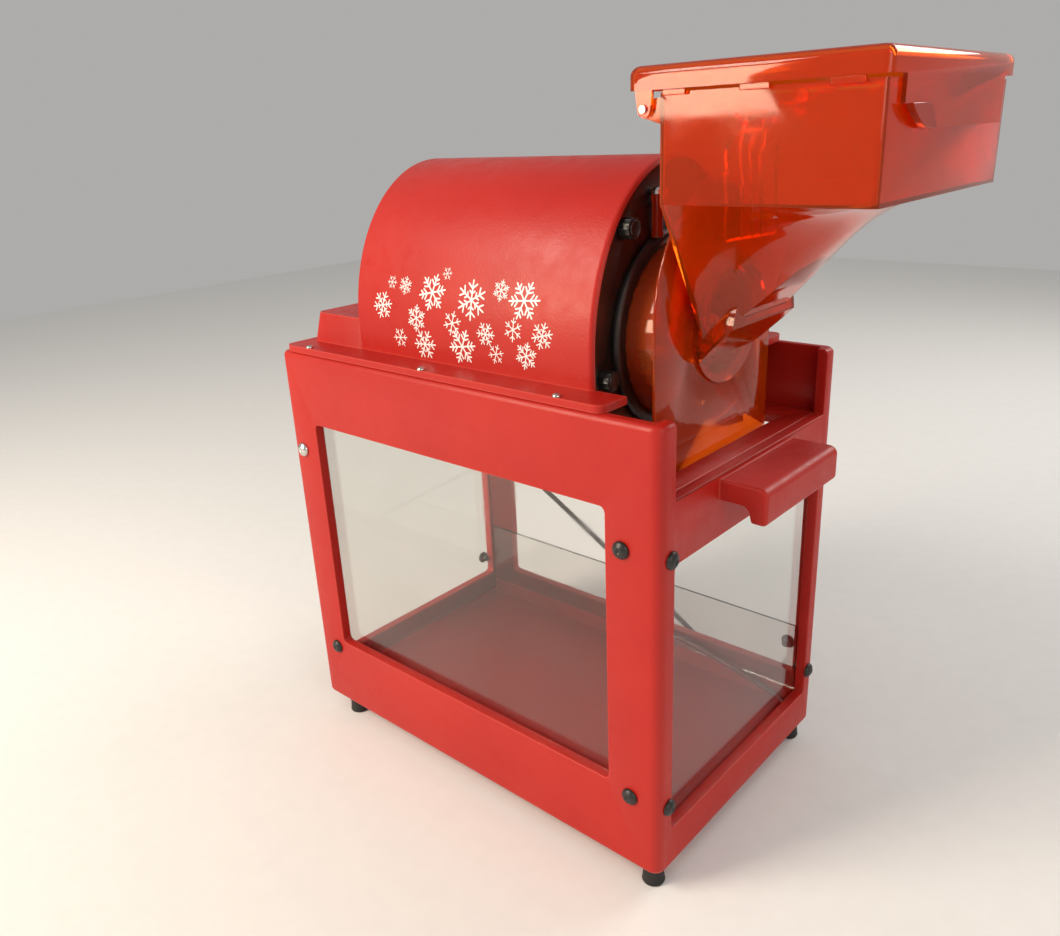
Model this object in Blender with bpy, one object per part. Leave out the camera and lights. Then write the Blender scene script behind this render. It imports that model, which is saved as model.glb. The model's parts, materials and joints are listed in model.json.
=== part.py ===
"""Table-top shaved ice machine: moulded cabinet, motor under a domed cover, shaver head and ice hopper.

Everything is modelled in cabinet coordinates, in metres: x runs from the rear end of the cabinet
towards the hopper, y from the front face towards the operator's side, z up from the cabinet's
underside. The last step moves it all so that the origin is the middle of the machine's footprint,
on the surface it stands on.
"""

import math

import bmesh
import bpy
from mathutils import Matrix, Vector
from mathutils.geometry import interpolate_bezier

# Driving dimensions
GAP = 0.0003                 # between pieces that touch
LENGTH = 0.530               # cabinet
DEPTH = 0.335
HEIGHT = 0.467
WALL = 0.012
FLOOR = 0.016
CORNER = 0.012
POST = 0.023                 # width of the posts beside the hopper-end window
RAIL_TOP = 0.397             # the hopper-end wall stops here
FOOT = 0.024
MID = DEPTH / 2

DECK_BOTTOM = 0.385
PANE = 0.003
FRONT_WINDOW = ((0.051, 0.092), (0.471, 0.384))      # x, z
END_WINDOW = ((POST, 0.046), (DEPTH - POST, 0.335))  # y, z
REAR_WINDOW = ((0.038, 0.050), (0.316, 0.380))       # y, z
SERVING_HATCH = ((0.052, 0.062), (0.507, 0.380))     # x, z
LOW_PANEL_TOP = 0.127
FRONT_PINS = ((0.022, 0.348), (0.037, 0.081), (0.489, 0.348), (0.497, 0.085))   # x, z
END_PINS = ((0.017, 0.343), (0.017, 0.078), (0.318, 0.343), (0.318, 0.075))     # y, z
PIN_HEAD = 0.0085
PIN_SHANK = 0.0025
PIN_HOLE = PIN_SHANK + GAP

HANDLE_WIDTH = 0.145
HANDLE_REACH = 0.048
HANDLE_TOP = 0.392
HANDLE_LIP = 0.035

COVER_WALL = 0.004           # motor cover
FLANGE_TOP = HEIGHT + 0.0075
PLINTH_TOP = 0.508
DOME_REAR = 0.106
DOME_FRONT = 0.434
DOME_SPRING = 0.500          # height at which the sides turn into the arch
DOME_HALF = 0.132
DOME_RISE = 0.169
COVER_SCREWS = (0.052, 0.239, 0.416)
SCREW_INSET = 0.0065

AXIS_HEIGHT = 0.507          # motor and shaver axis
SHAFT = 0.008
RUNNING_BORE = 0.0081
SHAFT_REAR = 0.138
SHAFT_FRONT = 0.4752
MOTOR = (0.165, 0.320)
MOTOR_RADIUS = 0.070
PLATE = (0.424, 0.430)       # head plate
KNOBS = ((-0.0785, 0.1035), (-0.1115, -0.027), (0.0785, 0.1035), (0.1115, -0.027))   # y, z from the shaft
DRUM = (0.4303, 0.4867)
DRUM_RADIUS = 0.086
DRUM_WALL = 0.004
RING_OUTER = 0.0775
RING_INNER = 0.0665
RING_TEETH = 56
TOOTH = 0.0022
BLADES = 3
FIRST_BLADE = math.radians(192)

GUARD = (0.4870, 0.4900)
GUARD_HALF = 0.117           # towards the front face
GUARD_FAR_HALF = 0.089       # towards the operator's side
GUARD_SPRING = 0.537
GUARD_BOTTOM = 0.374
CHUTE_HOLE = ((0.437, 0.046), (0.4935, 0.289))       # x, y

HOPPER_REAR = 0.500
HOPPER_END = 0.673
HOPPER_HALF = 0.1305
HOPPER_TOP = 0.717
HOPPER_BEND = 0.636
HOPPER_WALL = 0.0032
KEEL_HALF = 0.018
KEEL_X = 0.600
SPOUT_HEIGHT = 0.520
SPOUT_RADIUS = 0.058
SPOUT_END = 0.530
SPOUT_COLLAR = 0.4925        # the spout is full round up to here
KEEL_SLOPE = 0.952
MOUTH_RADIUS = 0.050

LID_TOP = 0.737
LID_SKIRT = 0.0177
LID_WALL = 0.003
LID_NOSE = 0.474
HINGE = (0.4895, 0.706)      # lid hinge, x and z
HINGE_ROD = 0.0028

BAFFLE_AXIS = (0.5135, 0.700)
BAFFLE_WIRE = 0.0016
BAFFLE_HALF = 0.046

CORD_RADIUS = 0.0035
COIL_CENTRE = (0.355, 0.3905)
COIL_INNER = 0.0245
COIL_OUTER = 0.0455
COIL_HEIGHT = 0.014
CORD_EXIT = (0.035, 0.3403, 0.492)
HOSE_RADIUS = 0.0038
DRAIN = (0.262, 0.300)


# Materials

PAINTS = {
    "red_polyethylene": ((0.50, 0.022, 0.016), 0.42, 0.0, 1.0),
    "orange_polycarbonate": ((0.80, 0.075, 0.008), 0.12, 0.0, 0.55),
    "clear_pane": ((0.85, 0.87, 0.86), 0.05, 0.0, 0.25),
    "black_plastic": ((0.012, 0.012, 0.012), 0.45, 0.0, 1.0),
    "black_rubber": ((0.010, 0.010, 0.010), 0.75, 0.0, 1.0),
    "bright_steel": ((0.62, 0.62, 0.60), 0.28, 1.0, 1.0),
    "dark_steel": ((0.10, 0.095, 0.09), 0.45, 1.0, 1.0),
    "motor_paint": ((0.10, 0.11, 0.12), 0.50, 0.0, 1.0),
    "copper_winding": ((0.45, 0.14, 0.05), 0.40, 1.0, 1.0),
    "red_hose": ((0.20, 0.012, 0.010), 0.35, 0.0, 1.0),
}


def paint(obj, finish):
    """Give the object its own Principled material in the named finish."""
    colour, roughness, metallic, alpha = PAINTS[finish]
    mat = bpy.data.materials.new(obj.name + "_" + finish)
    mat.use_nodes = True
    shader = mat.node_tree.nodes["Principled BSDF"]
    shader.inputs["Base Color"].default_value = (*colour, 1.0)
    shader.inputs["Roughness"].default_value = roughness
    shader.inputs["Metallic"].default_value = metallic
    shader.inputs["Alpha"].default_value = alpha
    mat.diffuse_color = (*colour, alpha)
    obj.data.materials.clear()
    obj.data.materials.append(mat)


# Shape helpers

def solid(name, bm):
    """Turn a bmesh into an object with outward faces."""
    bmesh.ops.recalc_face_normals(bm, faces=bm.faces)
    mesh = bpy.data.meshes.new(name)
    bm.to_mesh(mesh)
    bm.free()
    obj = bpy.data.objects.new(name, mesh)
    bpy.context.scene.collection.objects.link(obj)
    return obj


def loft(name, loops, closed=False):
    """Skin equal closed loops of points; the two ends are capped unless the loops close on themselves."""
    bm = bmesh.new()
    rings = [[bm.verts.new(p) for p in loop] for loop in loops]
    pairs = list(zip(rings, rings[1:]))
    if closed:
        pairs.append((rings[-1], rings[0]))
    else:
        bm.faces.new(rings[0])
        bm.faces.new(rings[-1])
    for low, high in pairs:
        for i in range(len(low)):
            j = (i + 1) % len(low)
            bm.faces.new((low[i], low[j], high[j], high[i]))
    return solid(name, bm)


def to_world(axis, along, u, v):
    """A point at distance along one axis, with u and v on the other two in X, Y, Z order."""
    if axis == "X":
        return Vector((along, u, v))
    if axis == "Y":
        return Vector((u, along, v))
    return Vector((u, v, along))


def prism(name, outline, axis, low, high):
    """Extrude a flat outline of (u, v) points along an axis."""
    return loft(name, [[to_world(axis, at, u, v) for u, v in outline] for at in (low, high)])


def box(name, low, high):
    """A block between two corners."""
    outline = ((low[0], low[1]), (high[0], low[1]), (high[0], high[1]), (low[0], high[1]))
    return prism(name, outline, "Z", low[2], high[2])


def circle(centre, radius, segments, start=0.0, turn=2 * math.pi):
    """Points on an arc; a full turn doesn't repeat its first point."""
    steps = segments if abs(turn) >= 2 * math.pi - 1e-9 else segments - 1
    return [(centre[0] + radius * math.cos(start + turn * i / steps),
             centre[1] + radius * math.sin(start + turn * i / steps)) for i in range(segments)]


def rounded(low, high, radius, segments=6):
    """A rectangle's outline with round corners."""
    corners = ((high[0], high[1], 0), (low[0], high[1], 1), (low[0], low[1], 2), (high[0], low[1], 3))
    points = []
    for x, y, quarter in corners:
        cx = x - radius if x == high[0] else x + radius
        cy = y - radius if y == high[1] else y + radius
        points += circle((cx, cy), radius, segments, quarter * math.pi / 2, math.pi / 2)
    return points


def cylinder(name, axis, centre, radius, low, high, segments=48):
    """A round bar along an axis; centre is on the other two axes."""
    return prism(name, circle(centre, radius, segments), axis, low, high)


def turned(name, axis, centre, profile, segments=32):
    """Spin a closed profile of (radius, along) points about an axis."""
    bm = bmesh.new()
    columns = []
    for radius, along in profile:
        if radius == 0:
            vert = bm.verts.new(to_world(axis, along, *centre))
            columns.append([vert] * segments)
        else:
            ring = circle(centre, radius, segments)
            columns.append([bm.verts.new(to_world(axis, along, *p)) for p in ring])
    for k, low in enumerate(columns):
        high = columns[(k + 1) % len(columns)]
        for i in range(segments):
            j = (i + 1) % segments
            corners = []
            for vert in (low[i], low[j], high[j], high[i]):
                if vert not in corners:
                    corners.append(vert)
            if len(corners) > 2:
                bm.faces.new(corners)
    return solid(name, bm)


def combine(target, tool, operation):
    """Apply an exact boolean and drop the tool."""
    modifier = target.modifiers.new(operation, "BOOLEAN")
    modifier.operation = operation
    modifier.solver = "EXACT"
    modifier.object = tool
    depsgraph = bpy.context.evaluated_depsgraph_get()
    mesh = bpy.data.meshes.new_from_object(target.evaluated_get(depsgraph))
    target.modifiers.clear()
    target.data = mesh
    mesh.name = target.name
    bpy.data.objects.remove(tool)
    return target


def cut(target, *tools):
    for tool in tools:
        combine(target, tool, "DIFFERENCE")
    return target


def join(target, *tools):
    for tool in tools:
        combine(target, tool, "UNION")
    return target


def finish(obj, paint_name, pivot=None, smooth=None):
    """Paint a piece, put its origin on its joint's axis and shade its round faces."""
    if pivot is not None:
        obj.data.transform(Matrix.Translation(-Vector(pivot)))
        obj.location = Vector(pivot)
    if smooth:
        obj.data.shade_smooth()
        obj.data.set_sharp_from_angle(angle=math.radians(smooth))
    paint(obj, paint_name)
    return obj


def tube(name, points, radius, sides=2):
    """A round tube through points, read from a smooth curve through them, with closed ends."""
    curve = bpy.data.curves.new(name, "CURVE")
    curve.dimensions = "3D"
    curve.bevel_depth = radius
    curve.bevel_resolution = sides
    curve.use_fill_caps = True
    spline = curve.splines.new("POLY")
    spline.points.add(len(points) - 1)
    for point, place in zip(spline.points, points):
        point.co = (*place, 1.0)
    obj = bpy.data.objects.new(name, curve)
    bpy.context.scene.collection.objects.link(obj)
    return obj


def smooth_route(points, steps):
    """Points along a smooth curve through the route's own points."""
    places = [Vector(p) for p in points]
    slopes = []
    for i, here in enumerate(places):
        before = places[max(i - 1, 0)]
        after = places[min(i + 1, len(places) - 1)]
        slopes.append((after - before) / 2)
    route = [places[0]]
    for i in range(len(places) - 1):
        span = interpolate_bezier(places[i], places[i] + slopes[i] / 3,
                                  places[i + 1] - slopes[i + 1] / 3, places[i + 1], steps + 1)
        route += span[1:]
    return route


# Cabinet

def window(name, axis, corners, low, high):
    return prism(name, rounded(*corners, 0.006), axis, low, high)


def handle():
    """Pull handle below the hopper-end rail, hooked for the fingers."""
    out = LENGTH + HANDLE_REACH
    low = HANDLE_TOP - HANDLE_LIP
    web = HANDLE_TOP - 0.020
    outline = [(LENGTH - WALL / 2, HANDLE_TOP)]
    outline += circle((out - 0.008, HANDLE_TOP - 0.008), 0.008, 6, math.pi / 2, -math.pi / 2)
    outline += circle((out - 0.005, low + 0.005), 0.005, 5, 0, -math.pi / 2)
    outline += [(out - 0.016, low), (out - 0.019, web - 0.003), (out - 0.023, web)]
    outline.append((LENGTH - WALL / 2, web))
    half = HANDLE_WIDTH / 2
    return prism("handle", outline, "Y", MID - half, MID + half)


def cabinet_shell():
    shell = prism("cabinet_shell", rounded((0, 0), (LENGTH, DEPTH), CORNER, 8), "Z", 0, HEIGHT)
    inside = rounded((WALL, WALL), (LENGTH - WALL, DEPTH - WALL), 0.001, 3)
    cut(shell, prism("cavity", inside, "Z", FLOOR, HEIGHT + 0.1))
    gap_high = (LENGTH + 0.01, DEPTH - POST, HEIGHT + 0.1)
    cut(shell, box("end_gap", (LENGTH - 0.030, POST, RAIL_TOP), gap_high))
    join(shell, handle())
    cut(shell,
        window("front_cut", "Y", FRONT_WINDOW, -0.01, WALL + 0.002),
        window("end_cut", "X", END_WINDOW, LENGTH - WALL - 0.002, LENGTH + 0.01),
        window("rear_cut", "X", REAR_WINDOW, -0.01, WALL + 0.002),
        window("hatch_cut", "Y", SERVING_HATCH, DEPTH - WALL - 0.002, DEPTH + 0.01))
    for x, z in FRONT_PINS:
        cut(shell, cylinder("hole", "Y", (x, z), PIN_HOLE, -0.01, WALL + 0.002, 16))
    for y, z in END_PINS:
        cut(shell, cylinder("hole", "X", (y, z), PIN_HOLE, LENGTH - WALL - 0.002, LENGTH + 0.01, 16))
    for x in COVER_SCREWS:
        cut(shell, cylinder("hole", "Z", (x, SCREW_INSET), 0.0021, HEIGHT - 0.012, HEIGHT + 0.01, 12))
    cut(shell, cylinder("drain", "Z", DRAIN, 0.0050, -0.01, FLOOR + 0.01, 16))
    finish(shell, "red_polyethylene")


def deck():
    """Shelf across the cabinet that carries the motor and head, open below the shaver drum."""
    low = (WALL + GAP, WALL + GAP, DECK_BOTTOM)
    high = (LENGTH - WALL - GAP, DEPTH - WALL - GAP, RAIL_TOP)
    plate = box("machinery_deck", low, high)
    cut(plate, prism("drop", rounded(*CHUTE_HOLE, 0.006), "Z", DECK_BOTTOM - 0.01, RAIL_TOP + 0.01))
    finish(plate, "red_polyethylene")


def feet():
    for label, x in (("rear", 0.040), ("hopper", LENGTH - 0.018)):
        for side, y in (("front", 0.019), ("operator", DEPTH - 0.019)):
            profile = [(0, -FOOT), (0.0105, -FOOT), (0.0120, -FOOT + 0.0015), (0.0105, -0.006),
                       (0.0125, -0.0045), (0.0125, -GAP), (0, -GAP)]
            foot = turned("foot_" + label + "_" + side, "Z", (x, y), profile, 18)
            finish(foot, "black_rubber", smooth=40)


def panes():
    """Clear sheets held against the inside of the walls."""
    top = DECK_BOTTOM - 0.001
    near = WALL + GAP
    inner = near + PANE
    far = DEPTH - near
    end = LENGTH - near
    edge = GAP * 1.5
    stop = end - PANE - 0.003
    front = box("front_window", (near + GAP, near, 0.060), (stop, inner, top))
    for x, z in FRONT_PINS:
        cut(front, cylinder("hole", "Y", (x, z), PIN_HOLE, 0, 0.03, 16))
    hopper_end = box("hopper_end_window", (end - PANE, near + GAP, 0.020), (end, far - GAP, top))
    for y, z in END_PINS:
        cut(hopper_end, cylinder("hole", "X", (y, z), PIN_HOLE, LENGTH - 0.03, LENGTH, 16))
    rear = box("rear_end_window", (near, inner + edge, 0.024), (inner, far - PANE - edge, top))
    low = box("serving_hatch_panel", (near + GAP, far - PANE, 0.040), (stop, far, LOW_PANEL_TOP))
    for pane in (front, hopper_end, rear, low):
        finish(pane, "clear_pane")


def push_pin(name, axis, centre, face, outward, length, clip):
    """Domed plastic pin through a wall; outward is +1 or -1 along the axis."""
    def at(distance):
        return face + outward * distance
    profile = [(0, at(0.0052)), (0.0045, at(0.0048)), (0.0072, at(0.0036)), (PIN_HEAD, at(0.0018)),
               (PIN_HEAD, at(GAP)), (PIN_SHANK, at(GAP))]
    if clip:
        profile += [(PIN_SHANK, at(-length)), (0.0055, at(-length)), (0.0050, at(-length - 0.0028)),
                    (0, at(-length - 0.0032))]
    else:
        profile += [(PIN_SHANK, at(-length)), (0, at(-length - 0.0010))]
    return turned(name, axis, centre, profile, 14)


def pins():
    through = WALL + PANE + 2 * GAP
    for i, place in enumerate(FRONT_PINS, 1):
        pin = push_pin("front_pane_pin_" + str(i), "Y", place, 0.0, -1, through, True)
        finish(pin, "bright_steel" if i == 1 else "black_plastic", smooth=35)
    for i, place in enumerate(END_PINS, 1):
        pin = push_pin("end_pane_pin_" + str(i), "X", place, LENGTH, 1, through, False)
        finish(pin, "black_plastic", smooth=35)


# Motor cover

def dome_outline(inset, bottom):
    """Arch with vertical sides, seen along x."""
    half = DOME_HALF - inset
    rise = DOME_RISE - inset
    arch = [(MID + half * math.cos(math.pi * i / 40), DOME_SPRING + rise * math.sin(math.pi * i / 40))
            for i in range(41)]
    return [(MID + half, bottom)] + arch + [(MID - half, bottom)]


def plinth(name, inset, bottom, top):
    """Low tapered block behind the dome."""
    loops = []
    for z, slope in ((bottom, 0.0), (top, 0.0045)):
        low = (0.020 + inset + slope * 2, MID - DOME_HALF - 0.002 + inset + slope)
        high = (DOME_REAR + 0.010, MID + DOME_HALF + 0.002 - inset - slope)
        loops.append([Vector((x, y, z)) for x, y in rounded(low, high, 0.010, 5)])
    return loft(name, loops)


def motor_cover():
    low = (0.010, 0.0025)
    high = (0.468, DEPTH - 0.0025)
    cover = prism("motor_cover", rounded(low, high, 0.010, 5), "Z", HEIGHT + GAP, FLANGE_TOP)
    join(cover,
         prism("dome", dome_outline(0, FLANGE_TOP - 0.003), "X", DOME_REAR, DOME_FRONT),
         plinth("plinth", 0, FLANGE_TOP - 0.003, PLINTH_TOP))
    well = rounded((0.036, 0.080), (0.094, 0.255), 0.028, 8)
    inside_dome = dome_outline(COVER_WALL, HEIGHT - 0.01)
    cut(cover,
        prism("inside", inside_dome, "X", DOME_REAR + COVER_WALL, DOME_FRONT + 0.05),
        prism("well", well, "Z", PLINTH_TOP - 0.020, PLINTH_TOP + 0.01))
    under = plinth("under_plinth", COVER_WALL, HEIGHT - 0.01, PLINTH_TOP - COVER_WALL)
    well_wall = rounded((0.032, 0.076), (0.098, 0.259), 0.032, 8)
    cut(under, prism("well_wall", well_wall, "Z", PLINTH_TOP - 0.024, PLINTH_TOP + 0.01))
    cut(cover, under)
    cut(cover,
        box("drum_gap", (DOME_FRONT - 0.001, 0.048, HEIGHT - 0.01), (0.480, DEPTH - 0.048, HEIGHT + 0.02)),
        box("switch_cut", (DOME_REAR - 0.01, 0.2220, 0.5450), (DOME_REAR + 0.01, 0.2500, 0.5850)))
    cut(cover, cylinder("cord_cut", "Y", (CORD_EXIT[0], CORD_EXIT[2]), 0.0073, 0.285, 0.320, 24))
    for x in COVER_SCREWS:
        cut(cover, cylinder("hole", "Z", (x, SCREW_INSET), 0.0021, HEIGHT - 0.01, HEIGHT + 0.03, 12))
    finish(cover, "red_polyethylene", smooth=35)


def cover_screws():
    head = FLANGE_TOP + GAP
    profile = [(0, head + 0.0026), (0.0026, head + 0.0024), (0.0040, head + 0.0014), (0.0043, head),
               (0.0018, head), (0.0018, HEIGHT - 0.0105), (0, HEIGHT - 0.0115)]
    for i, x in enumerate(COVER_SCREWS, 1):
        screw = turned("cover_screw_" + str(i), "Z", (x, SCREW_INSET), profile, 12)
        finish(screw, "bright_steel", smooth=35)


# Switch and cord outlet

def switch():
    """Rocker switch on the dome's rear face."""
    middle = (0.236, 0.565)
    body = box("switch_body", (DOME_REAR - 0.0032, 0.2190, 0.5400), (DOME_REAR - GAP, 0.2530, 0.5900))
    join(body, box("case", (DOME_REAR - 0.0010, 0.2225, 0.5455), (DOME_REAR + 0.026, 0.2495, 0.5845)))
    cut(body, box("pocket", (DOME_REAR - 0.01, 0.2258, 0.5500), (DOME_REAR + 0.010, 0.2462, 0.5800)))
    finish(body, "black_plastic")
    tilt = math.radians(9)
    reach = 0.0142
    outline = []
    for along, out in ((reach, 0.0022), (0, -0.0006), (-reach, 0.0022), (-reach, -0.0030),
                       (-0.006, -0.0062), (0.006, -0.0062), (reach, -0.0030)):
        x = -out * math.cos(tilt) + along * math.sin(tilt)
        z = along * math.cos(tilt) + out * math.sin(tilt)
        outline.append((DOME_REAR + 0.0005 + x, middle[1] + z))
    rocker = prism("switch_rocker", outline, "Y", 0.2265, 0.2455)
    finish(rocker, "black_plastic", pivot=(DOME_REAR + 0.0005, middle[0], middle[1]))


def strain_relief():
    """Tapered cord bush on the operator's side of the plinth."""
    x, y, z = CORD_EXIT
    face = MID + DOME_HALF + 0.0024
    profile = [(0, y - GAP), (0.0046, y - GAP), (0.0078, face + 0.005), (0.0108, face + 0.0035),
               (0.0108, face), (0.0068, face), (0.0068, face - 0.012), (0, face - 0.012)]
    finish(turned("cord_strain_relief", "Y", (x, z), profile, 24), "black_rubber", smooth=40)


# Motor

def motor():
    centre = (MID, AXIS_HEIGHT)
    rear, front = MOTOR
    bell = 0.0067
    wall = MOTOR_RADIUS - 0.006

    def sleeve(name, low, high, inner, outer, finish_name, segments=40):
        profile = [(inner, low), (outer, low), (outer, high), (inner, high)]
        return finish(turned(name, "X", centre, profile, segments), finish_name, smooth=35)

    sleeve("motor_casing", rear, front, wall, MOTOR_RADIUS, "motor_paint")
    sleeve("motor_stator", rear + 0.025, front - 0.025, 0.040, wall - 2 * GAP, "copper_winding")
    profile = [(0.0083, rear + 0.023), (0.0390, rear + 0.023),
               (0.0390, front - 0.023), (0.0083, front - 0.023)]
    armature = turned("motor_armature", "X", centre, profile, 32)
    finish(armature, "dark_steel", pivot=(rear, *centre), smooth=35)
    for name, face, out in (("motor_rear_bell", rear - GAP, -1), ("motor_front_bell", front + GAP, 1)):
        profile = [(RUNNING_BORE, face), (MOTOR_RADIUS, face), (MOTOR_RADIUS, face + out * bell * 0.5),
                   (0.055, face + out * bell), (0.024, face + out * bell),
                   (0.020, face + out * (bell + 0.004)),
                   (RUNNING_BORE, face + out * (bell + 0.004))]
        finish(turned(name, "X", centre, profile, 40), "motor_paint", smooth=35)
    saddle = box("motor_saddle",
                 (rear + 0.015, MID - 0.052, RAIL_TOP + GAP), (front - 0.015, MID + 0.052, 0.462))
    cut(saddle, cylinder("seat", "X", centre, MOTOR_RADIUS + 2 * GAP, rear, front, 40))
    cut(saddle, box("channel", (rear + 0.040, MID - 0.06, 0.36), (front - 0.040, MID + 0.06, 0.4230)))
    finish(saddle, "dark_steel")
    shaft = turned("motor_shaft", "X", centre,
                   [(0, SHAFT_REAR), (0.007, SHAFT_REAR), (SHAFT, SHAFT_REAR + 0.001),
                    (SHAFT, SHAFT_FRONT - 0.001), (0.007, SHAFT_FRONT), (0, SHAFT_FRONT)], 40)
    finish(shaft, "bright_steel", pivot=(SHAFT_REAR, *centre), smooth=35)
    blades = 7
    low, high = SHAFT_REAR + 0.003, SHAFT_REAR + 0.013
    fan = cylinder("cooling_fan", "X", centre, 0.018, low, high, 32)
    for i in range(blades):
        angle = 2 * math.pi * i / blades
        spoke = box("spoke", (low + 0.001, -0.0012, 0.010), (high - 0.001, 0.0012, 0.056))
        spoke.data.transform(Matrix.Translation((0, *centre)) @ Matrix.Rotation(angle, 4, "X"))
        join(fan, spoke)
    cut(fan, cylinder("bore", "X", centre, SHAFT + GAP, low - 0.01, high + 0.01, 32))
    finish(fan, "black_plastic", pivot=(low, *centre))


# Shaver head

def head_plate():
    """Upright plate that closes the dome's mouth and carries the shaver head."""
    outline = dome_outline(COVER_WALL + 0.0006, RAIL_TOP + GAP)
    plate = prism("head_plate", outline, "X", *PLATE)
    cut(plate, cylinder("bearing_seat", "X", (MID, AXIS_HEIGHT), 0.0175, 0.42, 0.44, 48))
    for y, z in KNOBS:
        cut(plate, cylinder("hole", "X", (MID + y, AXIS_HEIGHT + z), 0.0034, 0.42, 0.44, 16))
    finish(plate, "dark_steel")
    profile = [(RUNNING_BORE, 0.4215), (0.0172, 0.4215), (0.0172, 0.4300), (RUNNING_BORE, 0.4300)]
    bearing = turned("shaft_bearing", "X", (MID, AXIS_HEIGHT), profile, 40)
    finish(bearing, "bright_steel", smooth=35)


def knobs():
    """Clamp knobs with fluted rims, each on a stud through the head plate."""
    low = PLATE[1] + GAP
    for i, (y, z) in enumerate(KNOBS, 1):
        centre = (MID + y, AXIS_HEIGHT + z)
        rim = []
        for k in range(24):
            radius = 0.0092 + 0.0006 * (-1) ** k
            angle = math.pi * k / 12
            rim.append((centre[0] + radius * math.cos(angle), centre[1] + radius * math.sin(angle)))
        knob = prism("clamp_knob_" + str(i), rim, "X", low, low + 0.012)
        join(knob, cylinder("face", "X", centre, 0.0070, low + 0.010, low + 0.0135, 16),
             cylinder("stud", "X", centre, 0.0030, PLATE[0] - 0.008, low + 0.002, 10))
        finish(knob, "black_plastic", pivot=(low, *centre))


def clamp_ring():
    profile = [(DRUM_RADIUS + GAP, PLATE[1] + GAP), (0.0985, PLATE[1] + GAP),
               (0.0985, PLATE[1] + 0.004),
               (0.0950, PLATE[1] + 0.0072), (DRUM_RADIUS + GAP, PLATE[1] + 0.0072)]
    finish(turned("drum_clamp_ring", "X", (MID, AXIS_HEIGHT), profile, 48), "black_plastic", smooth=35)


def shaver_housing():
    """Drum housing with the feed mouth in front and the ice drop below."""
    low, high = DRUM
    drum = prism("shaver_housing", circle((MID, AXIS_HEIGHT), DRUM_RADIUS, 60), "X", low, high)
    cut(drum,
        cylinder("hollow", "X", (MID, AXIS_HEIGHT), DRUM_RADIUS - DRUM_WALL,
                 low - 0.01, high - DRUM_WALL, 60),
        cylinder("mouth", "X", (MID, SPOUT_HEIGHT), MOUTH_RADIUS, low, high + 0.01, 48),
        box("drop", (low + 0.009, MID - 0.040, 0.40), (high - 0.007, MID + 0.040, 0.46)))
    finish(drum, "orange_polycarbonate", smooth=35)


def cutting_ring():
    """Ribbed ring that the ice is thrown against, with a slot for each blade."""
    low, high = DRUM[0] + 0.0012, DRUM[1] - DRUM_WALL - 0.0012
    outline_out = []
    outline_in = []
    for k in range(RING_TEETH * 2):
        angle = 2 * math.pi * (k // 2 + 0.25 + 0.5 * (k % 2)) / RING_TEETH
        lift = TOOTH if (k // 2) % 2 == 0 else 0.0
        outer = RING_OUTER - TOOTH + lift
        inner = RING_INNER + TOOTH - lift
        outline_out.append((MID + outer * math.cos(angle), AXIS_HEIGHT + outer * math.sin(angle)))
        outline_in.append((MID + inner * math.cos(angle), AXIS_HEIGHT + inner * math.sin(angle)))
    ring = prism("cutting_ring", outline_out, "X", low, high)
    cut(ring, prism("bore", outline_in, "X", low - 0.01, high + 0.01))
    for i in range(BLADES):
        angle = FIRST_BLADE + 2 * math.pi * i / BLADES
        slot = box("slot", (low + 0.010, -0.0125, 0.060), (high - 0.009, 0.0125, 0.084))
        place = Matrix.Translation((0, MID, AXIS_HEIGHT)) @ Matrix.Rotation(angle - math.pi / 2, 4, "X")
        slot.data.transform(place)
        cut(ring, slot)
        blade = box("shaver_blade_" + str(i + 1),
                    (low + 0.0112, -0.0105, -0.0008), (high - 0.0102, 0.0105, 0.0008))
        lean = Matrix.Rotation(math.radians(10), 4, "X")
        blade.data.transform(place @ Matrix.Translation((0, 0, 0.0715)) @ lean)
        finish(blade, "bright_steel")
    finish(ring, "orange_polycarbonate")


def cutter():
    """Three-armed rotor that drives the ice round, and the nut that holds it on the shaft."""
    centre = (MID, AXIS_HEIGHT)
    low, high = 0.4335, 0.4735
    rotor = cylinder("cutter_rotor", "X", centre, 0.020, low, high, 48)
    for i in range(3):
        arm = box("arm", (low + 0.003, -0.0045, 0.012), (high - 0.004, 0.0045, 0.0625))
        turn = Matrix.Rotation(2 * math.pi * i / 3, 4, "X")
        arm.data.transform(Matrix.Translation((0, *centre)) @ turn)
        join(rotor, arm)
    cut(rotor, cylinder("bore", "X", centre, SHAFT + GAP, low - 0.01, high + 0.01, 32))
    finish(rotor, "bright_steel", pivot=(low, *centre))
    nut = prism("rotor_nut", circle(centre, 0.0125, 6), "X", SHAFT_FRONT + GAP, SHAFT_FRONT + 0.008)
    finish(nut, "bright_steel", pivot=(SHAFT_FRONT, *centre))


def ice_guard():
    """Clear arch between the drum and the hopper, standing in the deck's opening."""
    steps = 36
    outline = [(MID - GUARD_HALF, GUARD_BOTTOM), (MID + GUARD_FAR_HALF, GUARD_BOTTOM)]
    for i in range(steps + 1):
        angle = math.pi * i / steps
        half = GUARD_FAR_HALF if i < steps / 2 else GUARD_HALF
        outline.append((MID + half * math.cos(angle), GUARD_SPRING + GUARD_HALF * math.sin(angle)))
    guard = prism("ice_guard", outline, "X", *GUARD)
    cut(guard, cylinder("hole", "X", (MID, SPOUT_HEIGHT), SPOUT_RADIUS + GAP, 0.48, 0.50, 64))
    finish(guard, "orange_polycarbonate")


# Hopper and lid

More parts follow.
